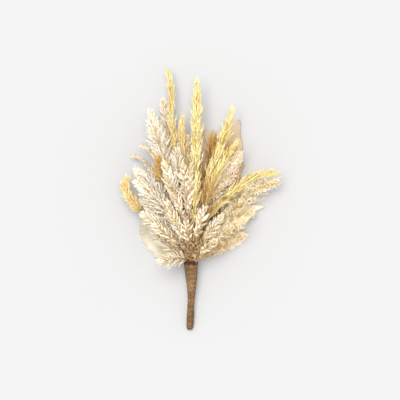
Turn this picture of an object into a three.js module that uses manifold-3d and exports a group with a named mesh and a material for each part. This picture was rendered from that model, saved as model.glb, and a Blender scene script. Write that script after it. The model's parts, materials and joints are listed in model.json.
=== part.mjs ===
// A tied bundle of pampas grass lying on its back, in millimetres.
// The handle points to -Y, the tips to +Y, and +Z is up, away from the surface it lies on.
import * as THREE from 'three';
import Module from 'manifold-3d';
import { mergeVertices } from 'three/addons/utils/BufferGeometryUtils.js';

const wasm = await Module();
wasm.setup();

// Sizes that drive the whole bunch.
const gridStep = 1.75;          // one step of the hand-made layout below
const clearance = 0.38;         // air kept between two neighbouring pieces
const stemRadius = 0.95;
const tipRadius = 0.5;
const slotPitch = 2.3;          // from stem to stem where they are bound
const stemDepth = 8;            // how far a stem stands inside the wrap
const neckTilt = 0.18;          // the rise of the handle per length
const mouth = new THREE.Vector3(-17, -109, 26);
const middleLayer = 3;
const middleRise = 24;          // how far the middle layer climbs above the mouth
const layerSpread = 14.5;       // how far the layers part away from the neck
const spreadWithin = 60;        // the length over which they part
const riseWithin = 75;          // the length over which the middle layer climbs
const sideFlatten = 0.3;        // how much closer the layers lie at the sides, as a share
const flattenWithin = 40;
const sag = 0.03;               // how far the long tips sink per length
const sagFrom = 180;
const stemSides = 5;
const stemStops = [0, 12, 34, 80, 150];              // bends of a bare stem, from the mouth
const stalkStops = [0, 5, 10, 16, 24, 34, 50, 70];   // bends of a leaf's stalk
const goldenTurn = 2.39996;     // turn from one barb to the next round a rachis
const barbWaist = 0.34;         // where a barb is thickest, as a share of its length
const thinShare = 0.6;          // how thick the outer part of a barb is beside its waist
const tuftEnd = 0.62;           // where the rachis of a tuft stops, as a share
const branchRadius = 2.9;       // a grainy branch of millet
const leafForward = 0.32;       // how far the lobes of a leaf lean forward
const leafThickness = [0.9, 1.2, 1.6, 1.2, 0.9];     // from edge to edge across the midrib
const wrapSides = 12;
const wrapWall = 1.35;
const tapePitch = 8.4;          // length of handle that one turn of tape takes
const tapeStep = 0.55;          // step from one turn of tape to the next
const coreGap = 0.4;            // air round the bound stems inside the wrap
const ringTwist = 0.37;         // turn of each ring of a stem against the one before
const barbsPerBand = 3;

const colours = {
  cream: '#f0e6d4', blush: '#ecd9c6', yellow: '#f0da86', olive: '#d2b65e', gold: '#cf9c4c',
  brown: '#a87848', millet: '#dfc088', leaf: '#cbb29a', paleLeaf: '#e6dfcb', wrap: '#8a6a48',
  core: '#a58760',
};

// The layout by hand: where each piece runs, in steps from the middle of the bunch, root to tip.
// layer 0 lies on the surface and layer 6 is on top.
const layout = [
  // The broad leaves, which lie lowest.
  { name: 'leaf_low_left', kind: 'leaf', layer: 0, colour: 'paleLeaf', floor: 0, start: 8,
    path: [[-20, -57], [-40, -44], [-60.5, -20]],
    widths: [[2, 1], [5, 5], [9, 7], [13.5, 10], [12, 8.5], [17, 12], [14.5, 9.5], [17, 12], [14, 9],
      [14.5, 10], [11.5, 8], [11, 8], [7, 5], [4.5, 3], [1, 1]] },
  { name: 'leaf_top_middle', kind: 'leaf', layer: 0, colour: 'leaf', floor: 3.6, start: 70,
    path: [[0, 0], [7, 40], [8.5, 68]],
    widths: [[1.5, 1], [3, 4], [5, 7], [4.5, 6.5], [7, 10], [6, 8.5], [9, 12], [7, 10], [8.5, 12.5],
      [7, 10.5], [8.5, 12], [7, 8], [5, 4.5]] },
  { name: 'leaf_top_right', kind: 'leaf', layer: 0, colour: 'leaf', floor: 0, start: 70,
    path: [[14, -8], [27, 34], [34, 79]],
    widths: [[1, 1], [5, 5], [8, 9], [7, 8], [11, 14], [10, 14], [12, 18], [11, 16.5], [12, 18.5], [11, 13],
      [12, 13.5], [12, 12.3], [13, 9], [8, 7.8], [3, 6]] },
  { name: 'leaf_right', kind: 'leaf', layer: 0, colour: 'leaf', floor: 5.2, start: 45,
    path: [[12, -30], [40, -13], [63.5, -7.5]],
    widths: [[1, 1], [5, 5], [7, 7], [6, 6], [9, 9], [8, 7], [10, 8], [8, 6], [8.5, 5], [5, 3], [3, 2],
      [0.6, 0.6]] },
  { name: 'leaf_low_right', kind: 'leaf', layer: 0, colour: 'leaf', floor: 0, start: 10,
    path: [[4, -54], [24, -45], [48, -36]],
    widths: [[1, 1.4], [5, 3], [8, 5], [7, 4], [11, 7], [9, 5.5], [12, 8], [10, 6.5], [12, 9], [9, 7],
      [10, 7.5], [7, 5], [5, 4], [1, 1]] },

  // Layer 1.
  { name: 'cream_plume_curly_left', kind: 'plume', layer: 1, colour: 'cream',
    path: [[-34, 4], [-52, 31], [-60, 42], [-70.5, 44]], feather: 80, barb: 8, count: 20 },
  { name: 'cream_plume_inner_left', kind: 'plume', layer: 1, colour: 'cream',
    path: [[-30, 40], [-33, 70], [-38.5, 102]], feather: 125, barb: 18, count: 30 },
  { name: 'blush_plume_small_middle', kind: 'plume', layer: 1, colour: 'blush',
    path: [[-12, 20], [-13.5, 66]], feather: 75, barb: 11, count: 18 },
  { name: 'gold_tuft_right', kind: 'tuft', layer: 1, colour: 'gold', path: [[6, 30], [15, 66]],
    feather: 50, barb: 20, count: 22 },
  { name: 'gold_tuft_far_right', kind: 'tuft', layer: 1, colour: 'gold', path: [[14, 18], [36, 53]],
    feather: 40, barb: 18, count: 16 },
  { name: 'millet_spray_low', kind: 'millet', layer: 1, colour: 'millet', path: [[24, -31], [52, -12.5]],
    feather: 95, barb: 19, count: 7 },
  { name: 'millet_spray_lowest', kind: 'millet', layer: 1, colour: 'millet', path: [[18, -46], [42, -36]],
    feather: 75, barb: 18, count: 5 },

  // Layer 2.
  { name: 'cream_plume_lowest_left', kind: 'plume', layer: 2, colour: 'cream', path: [[-28, -52], [-50, -31]],
    feather: 70, barb: 15, count: 20 },
  { name: 'gold_curl_far_left', kind: 'spike', layer: 2, colour: 'olive',
    path: [[-50, -20], [-61.5, -11], [-69.5, -1], [-75, 9], [-75, 17], [-71.5, 21.5]],
    feather: 68, barb: 20, count: 26 },
  { name: 'cream_plume_curl_upper', kind: 'plume', layer: 2, colour: 'cream',
    path: [[-32, 18], [-46, 42], [-52, 51], [-61.5, 54.5]], feather: 75, barb: 9, count: 17 },
  { name: 'yellow_spike_tall_left', kind: 'spike', layer: 2, colour: 'yellow',
    path: [[-28.5, 64], [-29.5, 94], [-29.5, 108], [-33.5, 131.3]], feather: 150, barb: 19, count: 33 },
  { name: 'ochre_spike_middle', kind: 'spike', layer: 2, colour: 'olive',
    path: [[-16, 32], [-20, 64], [-18, 82]], feather: 110, barb: 21, count: 34 },
  { name: 'blush_plume_right', kind: 'plume', layer: 2, colour: 'blush',
    path: [[11, 2], [26, 26], [39.5, 47]], feather: 125, barb: 23, count: 40 },
  { name: 'millet_spray_right', kind: 'millet', layer: 2, colour: 'millet',
    path: [[14, -30], [34, -9], [49, 9], [76, 18]], feather: 140, barb: 24, count: 9 },

  // Layer 3.
  { name: 'cream_plume_wide_middle', kind: 'plume', layer: 3, colour: 'cream',
    path: [[-29, -24], [-60, 1]], feather: 95, barb: 20, count: 27 },
  { name: 'cream_plume_wide_upper', kind: 'plume', layer: 3, colour: 'cream',
    path: [[-32, -4], [-65.5, 30]], feather: 115, barb: 23, count: 34 },
  { name: 'cream_plume_tall_left', kind: 'plume', layer: 3, colour: 'cream',
    path: [[-32, 22], [-42, 56], [-50.5, 89]], feather: 145, barb: 25, count: 38 },
  { name: 'yellow_spike_tall_middle', kind: 'spike', layer: 3, colour: 'yellow',
    path: [[-5, 34], [-3.5, 120]], feather: 225, barb: 28, count: 46 },
  { name: 'yellow_spike_upper_right', kind: 'spike', layer: 3, colour: 'yellow',
    path: [[4.5, 14], [21.5, 54], [31, 89]], feather: 155, barb: 26, count: 40 },
  { name: 'yellow_spike_arched', kind: 'spike', layer: 3, colour: 'yellow',
    path: [[6.5, -16], [27.5, 2], [44.5, 17], [60, 25], [75.5, 26]], feather: 165, barb: 23, count: 38 },

  // Layer 4.
  { name: 'cream_plume_low_left', kind: 'plume', layer: 4, colour: 'cream',
    path: [[-25.5, -34], [-60.5, -14]], feather: 95, barb: 21, count: 30 },
  { name: 'cream_plume_wide_lower', kind: 'plume', layer: 4, colour: 'cream',
    path: [[-29, -12], [-66.5, 19]], feather: 110, barb: 23, count: 34 },
  { name: 'gold_tuft_left', kind: 'tuft', layer: 4, colour: 'gold', path: [[-30, 8], [-44, 41]],
    feather: 56, barb: 23, count: 26 },
  { name: 'cream_plume_upper_middle', kind: 'plume', layer: 4, colour: 'cream',
    path: [[-24, 18], [-23.5, 52]], feather: 60, barb: 15, count: 20 },
  { name: 'yellow_spike_small_right', kind: 'spike', layer: 4, colour: 'yellow',
    path: [[9.5, 19], [36, 57]], feather: 105, barb: 22, count: 26 },
  { name: 'millet_spray_front', kind: 'millet', layer: 4, colour: 'millet',
    path: [[12, -36], [44.5, -20]], feather: 88, barb: 19, count: 6 },

  // Layer 5.
  { name: 'cream_plume_left_short', kind: 'plume', layer: 5, colour: 'cream',
    path: [[-28, -41], [-49, -23]], feather: 56, barb: 15, count: 19 },
  { name: 'cream_plume_long_left', kind: 'plume', layer: 5, colour: 'cream', path: [[-20, -8], [-38, 39]],
    feather: 102, barb: 21, count: 32 },
  { name: 'cream_plume_long_middle', kind: 'plume', layer: 5, colour: 'cream',
    path: [[-12, -5], [-18.5, 38]], feather: 88, barb: 17, count: 25 },
  { name: 'cream_plume_long_right', kind: 'plume', layer: 5, colour: 'cream',
    path: [[-10, -5], [-10, 35]], feather: 74, barb: 12, count: 18 },
  { name: 'yellow_stem_middle', kind: 'spike', layer: 5, colour: 'yellow', path: [[-5, -10], [-4, 24]],
    feather: 90, barb: 22, count: 22 },
  { name: 'brown_tuft_middle', kind: 'tuft', layer: 5, colour: 'brown', path: [[3, -16], [9, 21]],
    feather: 60, barb: 21, count: 24 },
  { name: 'cream_plume_right_short', kind: 'plume', layer: 5, colour: 'cream',
    path: [[6, -36], [22.5, -15]], feather: 60, barb: 16, count: 21 },

  // Layer 6.
  { name: 'cream_plume_base_left', kind: 'plume', layer: 6, colour: 'cream',
    path: [[-27, -60], [-43, -62]], feather: 54, barb: 16, count: 18 },
  { name: 'cream_plume_front_left', kind: 'plume', layer: 6, colour: 'cream',
    path: [[-20.5, -34], [-34.5, 0]], feather: 78, barb: 16, count: 27 },
  { name: 'cream_plume_front_middle', kind: 'plume', layer: 6, colour: 'cream',
    path: [[-13, -40], [-15, -17]], feather: 50, barb: 15, count: 18 },
  { name: 'cream_plume_front_right', kind: 'plume', layer: 6, colour: 'cream', path: [[-5, -34], [5, -5]],
    feather: 64, barb: 16, count: 22 },
  { name: 'cream_plume_low_right', kind: 'plume', layer: 6, colour: 'cream',
    path: [[2, -51], [17.5, -40]], feather: 46, barb: 14, count: 18 },
];

// The handle from its blunt end to its mouth: sideways place, place along Y, radius.
const handleProfile = [
  [-19.3, -230.0, 2.4], [-19.3, -229.0, 4.2], [-19.2, -226.5, 5.3], [-18.9, -222, 5.7], [-18.4, -213, 5.9],
  [-18.0, -203, 5.8], [-17.6, -194, 5.5], [-16.9, -177, 5.4], [-16.3, -164.5, 6.5], [-16.2, -150, 8.1],
  [-16.6, -133, 10.3], [-17, -118, 11.6], [-17, -109, 12.2],
];

// Seeded random draws, so the bunch is the same each time. Each piece has a row of its own.
const firstDraw = 7;
let seed = firstDraw;
function startDraws(piece) {
  seed = [...piece.name].reduce((sum, letter) => (sum * 31 + letter.charCodeAt(0)) | 0, firstDraw);
}

function random() {
  seed = (seed + 0x6d2b79f5) | 0;
  let t = Math.imul(seed ^ (seed >>> 15), 1 | seed);
  t = (t + Math.imul(t ^ (t >>> 7), 61 | t)) ^ t;
  return ((t ^ (t >>> 14)) >>> 0) / 4294967296;
}

function spread(low, high) {
  return low + (high - low) * random();
}

function mix(a, b, t) {
  return a + (b - a) * t;
}

// Closed meshes.
function closedMesh(points, faces) {
  const geometry = new THREE.BufferGeometry();
  geometry.setAttribute('position', new THREE.Float32BufferAttribute(points.flat(), 3));
  geometry.setIndex(faces.flat());
  return geometry;
}

function solidFrom(geometry) {
  const bare = geometry.clone();
  bare.deleteAttribute('normal');
  bare.deleteAttribute('uv');
  const merged = mergeVertices(bare, 1e-4);
  return new wasm.Manifold(new wasm.Mesh({
    numProp: 3,
    vertProperties: new Float32Array(merged.attributes.position.array),
    triVerts: new Uint32Array(merged.index.array),
  }));
}

function meshFrom(solid, name, colourName, roughness) {
  const data = solid.getMesh();
  const geometry = new THREE.BufferGeometry();
  const places = [];
  for (let i = 0; i < data.vertProperties.length; i += data.numProp) {
    places.push(data.vertProperties[i], data.vertProperties[i + 1], data.vertProperties[i + 2]);
  }
  geometry.setAttribute('position', new THREE.Float32BufferAttribute(places, 3));
  geometry.setIndex(Array.from(data.triVerts));
  const flat = geometry.toNonIndexed();
  flat.computeVertexNormals();
  const material = new THREE.MeshStandardMaterial({ color: colours[colourName], roughness, metalness: 0 });
  const mesh = new THREE.Mesh(flat, material);
  mesh.name = name;
  return mesh;
}

// Rings of points joined into one closed skin, first ring to last.
function skin(rings) {
  const sides = rings[0].length;
  const points = rings.flat();
  const faces = [];
  for (let r = 0; r + 1 < rings.length; r += 1) {
    for (let s = 0; s < sides; s += 1) {
      const next = (s + 1) % sides;
      const a = r * sides + s;
      const b = r * sides + next;
      faces.push([a, b, b + sides], [a, b + sides, a + sides]);
    }
  }
  const first = points.length;
  const centre = (ring) => [0, 1, 2].map((k) => ring.reduce((sum, p) => sum + p[k], 0) / sides);
  points.push(centre(rings[0]), centre(rings[rings.length - 1]));
  const last = (rings.length - 1) * sides;
  for (let s = 0; s < sides; s += 1) {
    const next = (s + 1) % sides;
    faces.push([first, next, s], [first + 1, last + s, last + next]);
  }
  return closedMesh(points, faces);
}

// The direction along a row of places, with one sideways and one upward direction at each.
function framesAlong(places) {
  const frames = [];
  for (let i = 0; i < places.length; i += 1) {
    const before = places[Math.max(i - 1, 0)];
    const after = places[Math.min(i + 1, places.length - 1)];
    const along = after.clone().sub(before).normalize();
    const side = new THREE.Vector3(along.y, -along.x, 0).normalize();
    const up = side.clone().cross(along).normalize();
    frames.push({ along, side, up });
  }
  return frames;
}

// The height of a layer above the surface, at a place seen from above.
function layerHeight(layer, x, y) {
  const away = Math.hypot(x - mouth.x, y - mouth.y);
  const outward = away < 1e-6 ? 1 : (y - mouth.y) / away;
  const opened = 1 - Math.exp(-away / spreadWithin);
  const sideways = (1 - Math.max(outward, 0)) * (1 - Math.exp(-away / flattenWithin));
  const flatten = 1 - sideFlatten * sideways;
  const climbed = middleRise * (1 - Math.exp(-away / riseWithin));
  const middle = mouth.z + climbed - sag * Math.max(away - sagFrom, 0);
  return middle + (layer - middleLayer) * (slotPitch + layerSpread * opened) * flatten;
}

// Where a stem stands in the bound neck.
function slotPlace(piece) {
  const row = layout.filter((other) => other.layer === piece.layer);
  const column = row.indexOf(piece) - (row.length - 1) / 2;
  const across = column * slotPitch;
  const rise = (piece.layer - middleLayer) * slotPitch;
  const length = Math.hypot(1, neckTilt);
  const place = mouth.clone();
  place.x += across;
  place.y -= (rise * neckTilt) / length;
  place.z += rise / length;
  return place;
}

const neckAlong = new THREE.Vector3(0, 1, neckTilt).normalize();

// The middle line of a piece: up out of the neck, then along its hand-made path.
function middleLine(piece) {
  const start = slotPlace(piece);
  const through = piece.path.map(([x, y]) => new THREE.Vector3(x * gridStep, y * gridStep, 0));
  const first = new THREE.Vector3(start.x, start.y, 0);
  const run = Math.min(26, 0.28 * first.distanceTo(through[0]));
  const second = new THREE.Vector3(start.x, start.y + run, 0);
  const corners = [first, second, ...through];
  const curve = new THREE.CurvePath();
  let from = first;
  for (let i = 1; i < corners.length - 1; i += 1) {
    const isLast = i === corners.length - 2;
    const to = isLast ? corners[i + 1] : corners[i].clone().lerp(corners[i + 1], 0.5);
    curve.add(new THREE.QuadraticBezierCurve3(from, corners[i], to));
    from = to;
  }
  const flat = curve.getSpacedPoints(90);
  const line = flat.map((p) => new THREE.Vector3(p.x, p.y, layerHeight(piece.layer, p.x, p.y)));
  const offset = start.z - line[0].z;
  for (const p of line) {
    const away = Math.hypot(p.x - start.x, p.y - start.y);
    p.z += offset * Math.exp(-away / 20);
  }
  return line;
}

// Lengths along a line of places.
function lengthsOf(line) {
  const lengths = [0];
  for (let i = 1; i < line.length; i += 1) {
    lengths.push(lengths[i - 1] + line[i].distanceTo(line[i - 1]));
  }
  return lengths;
}

function placeAt(line, lengths, s) {
  let i = 1;
  while (i < line.length - 1 && lengths[i] < s) {
    i += 1;
  }
  const t = (s - lengths[i - 1]) / (lengths[i] - lengths[i - 1]);
  return line[i - 1].clone().lerp(line[i], Math.min(Math.max(t, 0), 1));
}

// The shortest distance between two straight pieces.
function segmentGap(a, b, c, d) {
  const u = b.clone().sub(a);
  const v = d.clone().sub(c);
  const w = a.clone().sub(c);
  const uu = u.dot(u);
  const uv = u.dot(v);
  const vv = v.dot(v);
  const uw = u.dot(w);
  const vw = v.dot(w);
  const det = uu * vv - uv * uv;
  let s = det > 1e-9 ? (uv * vw - vv * uw) / det : 0;
  s = Math.min(Math.max(s, 0), 1);
  let t = vv > 1e-9 ? (uv * s + vw) / vv : 0;
  t = Math.min(Math.max(t, 0), 1);
  s = uu > 1e-9 ? (uv * t - uw) / uu : 0;
  s = Math.min(Math.max(s, 0), 1);
  return w.addScaledVector(u, s).addScaledVector(v, -t).length();
}

// Everything already placed, as straight rods with a radius.
const rods = [];

function addRod(owner, from, to, radius) {
  const centre = from.clone().add(to).multiplyScalar(0.5);
  rods.push({ owner, from, to, radius, centre, reach: from.distanceTo(to) / 2 + radius });
}

// Whether a rod keeps its clearance from every other piece.
function isFree(owner, from, to, radius) {
  if (Math.min(from.z, to.z) - radius < 0.4) {
    return false;
  }
  const centre = from.clone().add(to).multiplyScalar(0.5);
  const reach = from.distanceTo(to) / 2 + radius;
  for (const rod of rods) {
    if (rod.owner === owner || centre.distanceTo(rod.centre) > reach + rod.reach + clearance) {
      continue;
    }
    if (segmentGap(from, to, rod.from, rod.to) < radius + rod.radius + clearance) {
      return false;
    }
  }
  return !touchesLeaf(owner, from, to, radius);
}

// Points over the leaves, so nothing above dips into them.
const leafPoints = [];

function touchesLeaf(owner, from, to, radius) {
  for (let i = 0; i <= 4; i += 1) {
    const p = from.clone().lerp(to, i / 4);
    for (const q of leafPoints) {
      if (q.owner === owner) {
        continue;
      }
      const near = Math.hypot(p.x - q.x, p.y - q.y) < q.reach + radius;
      if (near && p.z - radius < q.z + clearance) {
        return true;
      }
    }
  }
  return false;
}

// The stem, and the rachis that carries the barbs, as rings of one rod.
function prepareRachis(piece) {
  const line = middleLine(piece);
  const lengths = lengthsOf(line);
  const whole = lengths[lengths.length - 1];
  const featherStart = Math.max(whole - piece.feather, 12);
  const below = line[0].clone().addScaledVector(neckAlong, -stemDepth);
  const stops = stemStops.filter((s) => s < featherStart - 8);
  const end = piece.kind === 'tuft' ? mix(featherStart, whole, tuftEnd) : whole;
  const bands = Math.max(Math.round(piece.count / barbsPerBand), 3);
  const marks = [...stops];
  for (let i = 0; i <= bands; i += 1) {
    marks.push(mix(featherStart, end, i / bands));
  }
  piece.line = line;
  piece.lengths = lengths;
  piece.whole = whole;
  piece.end = end;
  piece.featherStart = featherStart;
  piece.firstBand = stops.length + 1;
  piece.marks = marks;
  piece.places = [below, ...marks.map((s) => placeAt(line, lengths, s))];
}

// The rachis swells in the feathered part, but never nearer to a neighbour than the clearance.
function thickenRachis(piece, others) {
  const swell = { plume: 0.2 * piece.barb, spike: 2.6, tuft: 3, millet: 1.7 }[piece.kind];
  piece.radii = piece.places.map((place, i) => {
    if (i === 0) {
      return stemRadius;
    }
    const t = (piece.marks[i - 1] - piece.featherStart) / (piece.end - piece.featherStart);
    const wanted = t <= 0 ? stemRadius : mix(0.7, swell, Math.sin(Math.PI * Math.min(t * 0.9 + 0.1, 1)));
    let room = Infinity;
    for (const other of others) {
      if (other !== piece) {
        room = Math.min(room, roomBeside(place, other));
      }
    }
    return Math.max(Math.min(wanted, room / 2 - clearance), Math.min(stemRadius, wanted));
  });
  piece.radii[piece.radii.length - 1] = tipRadius;
}

function roomBeside(place, other) {
  let nearest = Infinity;
  for (let i = 0; i + 1 < other.places.length; i += 1) {
    nearest = Math.min(nearest, segmentGap(place, place, other.places[i], other.places[i + 1]));
  }
  return nearest;
}

// The rod's skin as small facets, so that a facet can grow into a barb.
function rachisSkin(piece) {
  const frames = framesAlong(piece.places);
  const points = [];
  piece.places.forEach((place, i) => {
    for (let k = 0; k < stemSides; k += 1) {
      const angle = i * ringTwist - (2 * Math.PI * k) / stemSides;
      const p = place.clone();
      p.addScaledVector(frames[i].side, Math.cos(angle) * piece.radii[i]);
      p.addScaledVector(frames[i].up, Math.sin(angle) * piece.radii[i]);
      points.push(p);
    }
  });
  const facets = [];
  for (let r = 0; r + 1 < piece.places.length; r += 1) {
    for (let k = 0; k < stemSides; k += 1) {
      const next = (k + 1) % stemSides;
      const a = r * stemSides + k;
      const b = r * stemSides + next;
      facets.push({ band: r, corners: [a, b, b + stemSides] });
      facets.push({ band: r, corners: [a, b + stemSides, a + stemSides] });
    }
  }
  const first = points.length;
  points.push(piece.places[0].clone(), piece.places[piece.places.length - 1].clone());
  const last = (piece.places.length - 1) * stemSides;
  for (let k = 0; k < stemSides; k += 1) {
    const next = (k + 1) % stemSides;
    facets.push({ band: -1, corners: [first, next, k] });
    facets.push({ band: -1, corners: [first + 1, last + k, last + next] });
  }
  for (const facet of facets) {
    const [a, b, c] = facet.corners.map((n) => points[n]);
    facet.centre = a.clone().add(b).add(c).multiplyScalar(1 / 3);
    facet.normal = b.clone().sub(a).cross(c.clone().sub(a)).normalize();
    facet.faces = [faceOf(points, facet.corners)];
  }
  piece.points = points;
  piece.facets = facets;
  piece.frames = frames;
}

// A face with the box round it.
function faceOf(points, corners) {
  return { corners, box: new THREE.Box3().setFromPoints(corners.map((n) => points[n])) };
}

const edgeA = new THREE.Vector3();
const edgeB = new THREE.Vector3();
const faceNormal = new THREE.Vector3();
const meeting = new THREE.Vector3();
const fromCorner = new THREE.Vector3();

function isInside(a, b) {
  edgeA.subVectors(b, a);
  fromCorner.subVectors(meeting, a);
  return edgeA.cross(fromCorner).dot(faceNormal) > 0;
}

// Whether the edge from p to q goes through the face a, b, c.
function pierces(p, q, a, b, c) {
  edgeA.subVectors(b, a);
  edgeB.subVectors(c, a);
  faceNormal.crossVectors(edgeA, edgeB);
  const size = faceNormal.length();
  const before = meeting.subVectors(p, a).dot(faceNormal) / size;
  const after = meeting.subVectors(q, a).dot(faceNormal) / size;
  if (before * after >= 0 || Math.min(Math.abs(before), Math.abs(after)) < 1e-4) {
    return false;
  }
  meeting.lerpVectors(p, q, before / (before - after));
  return isInside(a, b) && isInside(b, c) && isInside(c, a);
}

function facesCross(points, one, other) {
  const ring = one.corners.map((n) => points[n]);
  const otherRing = other.corners.map((n) => points[n]);
  for (let k = 0; k < 3; k += 1) {
    const n = (k + 1) % 3;
    if (pierces(ring[k], ring[n], ...otherRing) || pierces(otherRing[k], otherRing[n], ...ring)) {
      return true;
    }
  }
  return false;
}

// Whether the faces of a new barb would cut through the skin that is already there.
function cutsOwnSkin(piece, facet, faces) {
  const standing = piece.facets.filter((other) => other !== facet).flatMap((other) => other.faces);
  for (const face of faces) {
    for (const other of [...standing, ...faces]) {
      const shared = other.corners.filter((n) => face.corners.includes(n)).length;
      if (shared < 2 && face.box.intersectsBox(other.box) && facesCross(piece.points, face, other)) {
        return true;
      }
    }
  }
  return false;
}

// A barb grows out of a facet: widest at a third of its length, three-sided.
function growBarb(piece, facet, tip, radius) {
  const root = facet.centre;
  const along = tip.clone().sub(root).normalize();
  const corners = facet.corners.map((n) => piece.points[n].clone().sub(root).projectOnPlane(along));
  const helper = corners[0].clone().normalize();
  const across = along.clone().cross(helper).normalize();
  const turns = corners.map((p, k) => Math.atan2(p.dot(across), p.dot(helper)) - (2 * Math.PI * k) / 3);
  const sum = (wave) => turns.reduce((total, turn) => total + wave(turn), 0);
  const turned = Math.atan2(sum(Math.sin), sum(Math.cos));
  const waist = root.clone().lerp(tip, barbWaist);
  const ring = [];
  for (let k = 0; k < 3; k += 1) {
    const angle = turned + (2 * Math.PI * k) / 3;
    const p = waist.clone().addScaledVector(helper, Math.cos(angle) * radius);
    ring.push(p.addScaledVector(across, Math.sin(angle) * radius));
  }
  const start = piece.points.length;
  piece.points.push(...ring, tip.clone());
  const old = facet.corners;
  const grown = [];
  for (let k = 0; k < 3; k += 1) {
    const n = (k + 1) % 3;
    grown.push([old[k], old[n], start + n], [old[k], start + n, start + k]);
    grown.push([start + k, start + n, start + 3]);
  }
  const faces = grown.map((corners) => faceOf(piece.points, corners));
  if (cutsOwnSkin(piece, facet, faces)) {
    piece.points.length = start;
    return false;
  }
  facet.faces = faces;
  facet.hasBarb = true;
  return true;
}

// How the barbs of each kind stand: degrees from the rachis, thickness, and flatness seen from the side.
const barbHabit = {
  plume: { lean: [30, 46], radius: 2.2, flat: 0.75 },
  spike: { lean: [12, 19], radius: 1.75, flat: 1 },
  tuft: { lean: [8, 36], radius: 1.7, flat: 0.9 },
  millet: { flat: 0.75 },
};

function plannedBarbs(piece) {
  const habit = barbHabit[piece.kind];
  const barbs = [];
  startDraws(piece);
  for (let i = 0; i < piece.count; i += 1) {
    const t = (i + 0.5) / piece.count;
    const taper = piece.kind === 'tuft' ? 1 : mix(1, 0.55, Math.max(0, (t - 0.55) / 0.45));
    const young = piece.kind === 'tuft' ? 1 : mix(0.7, 1, Math.min(t / 0.25, 1));
    const length = piece.barb * taper * young * spread(0.88, 1.12);
    const degrees = spread(habit.lean[0], habit.lean[1]) * mix(1, 0.5, Math.max(0, (t - 0.8) / 0.2));
    const highest = piece.kind === 'tuft' ? piece.end : piece.whole - 0.8 * length;
    const s = Math.min(mix(piece.featherStart, piece.end, t), highest);
    const around = i * goldenTurn + spread(-0.3, 0.3);
    const radius = habit.radius * spread(0.9, 1.1);
    barbs.push({ piece, s, around, length, lean: (degrees * Math.PI) / 180, radius });
  }
  return barbs;
}

// The facet of the barb's band that faces most nearly the wanted way.
function facetFor(barb, around) {
  const { piece } = barb;
  let band = piece.firstBand;
  while (band < piece.places.length - 2 && piece.marks[band] < barb.s) {
    band += 1;
  }
  const frame = piece.frames[band];
  const wanted = frame.side.clone().multiplyScalar(Math.cos(around));
  wanted.addScaledVector(frame.up, Math.sin(around));
  let best = null;
  let bestScore = 0.55;
  for (const facet of piece.facets) {
    if (facet.band !== band || facet.hasBarb) {
      continue;
    }
    const score = facet.normal.dot(wanted);
    if (score > bestScore) {
      bestScore = score;
      best = facet;
    }
  }
  return best;
}

function barbTip(barb, root, out, scale) {
  const { piece } = barb;
  const ahead = placeAt(piece.line, piece.lengths, Math.min(barb.s + 3, piece.whole));
  const behind = placeAt(piece.line, piece.lengths, Math.max(barb.s - 3, 0));
  const along = ahead.sub(behind).normalize();
  const level = out.clone().projectOnPlane(along);
  const up = new THREE.Vector3(0, 0, 1).projectOnPlane(along).normalize();
  level.addScaledVector(up, (barbHabit[piece.kind].flat - 1) * level.dot(up)).normalize();
  const direction = along.multiplyScalar(Math.cos(barb.lean));
  direction.addScaledVector(level, Math.sin(barb.lean)).normalize();
  return root.clone().addScaledVector(direction, barb.length * scale);
}

// A barb that would meet anything is turned about its rachis, then shortened, then left out.
function settleBarb(barb) {
  const { name } = barb.piece;
  for (const scale of [1, 0.8, 0.62]) {
    for (const turn of [0, 0.6, -0.6, 1.2, -1.2, 1.9, -1.9, 2.6, -2.6]) {
      const facet = facetFor(barb, barb.around + turn);
      if (!facet) {
        continue;
      }
      const tip = barbTip(barb, facet.centre, facet.normal, scale);
      const waist = facet.centre.clone().lerp(tip, 0.22);
      const middle = facet.centre.clone().lerp(tip, 0.6);
      const thin = barb.radius * thinShare;
      const free = isFree(name, waist, middle, barb.radius) && isFree(name, middle, tip, thin);
      if (free && growBarb(barb.piece, facet, tip, barb.radius)) {
        addRod(name, waist, middle, barb.radius);
        addRod(name, middle, tip, thin);
        return;
      }
    }
  }
}

// A branch of a millet spray, its skin raised into grains.
function grainBranch(root, bend, tip, radius, phase) {
  const curve = new THREE.QuadraticBezierCurve3(root, bend, tip);
  const rings = 7;
  const places = curve.getPoints(rings - 1);
  const frames = framesAlong(places);
  const sides = 4;
  const skinRings = places.map((place, i) => {
    const t = i / (rings - 1);
    const body = radius * Math.sqrt(Math.max(Math.sin(Math.PI * Math.min(t * 0.93 + 0.1, 1)), 0.06));
    const ring = [];
    for (let s = 0; s < sides; s += 1) {
      const raised = (s + i + phase) % 2 === 0 ? 1.22 : 0.74;
      const angle = i * 0.31 - (2 * Math.PI * s) / sides;
      const p = place.clone();
      p.addScaledVector(frames[i].side, Math.cos(angle) * body * raised);
      p.addScaledVector(frames[i].up, Math.sin(angle) * body * raised);
      ring.push([p.x, p.y, p.z]);
    }
    return ring;
  });
  return skin(skinRings);
}

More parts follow.
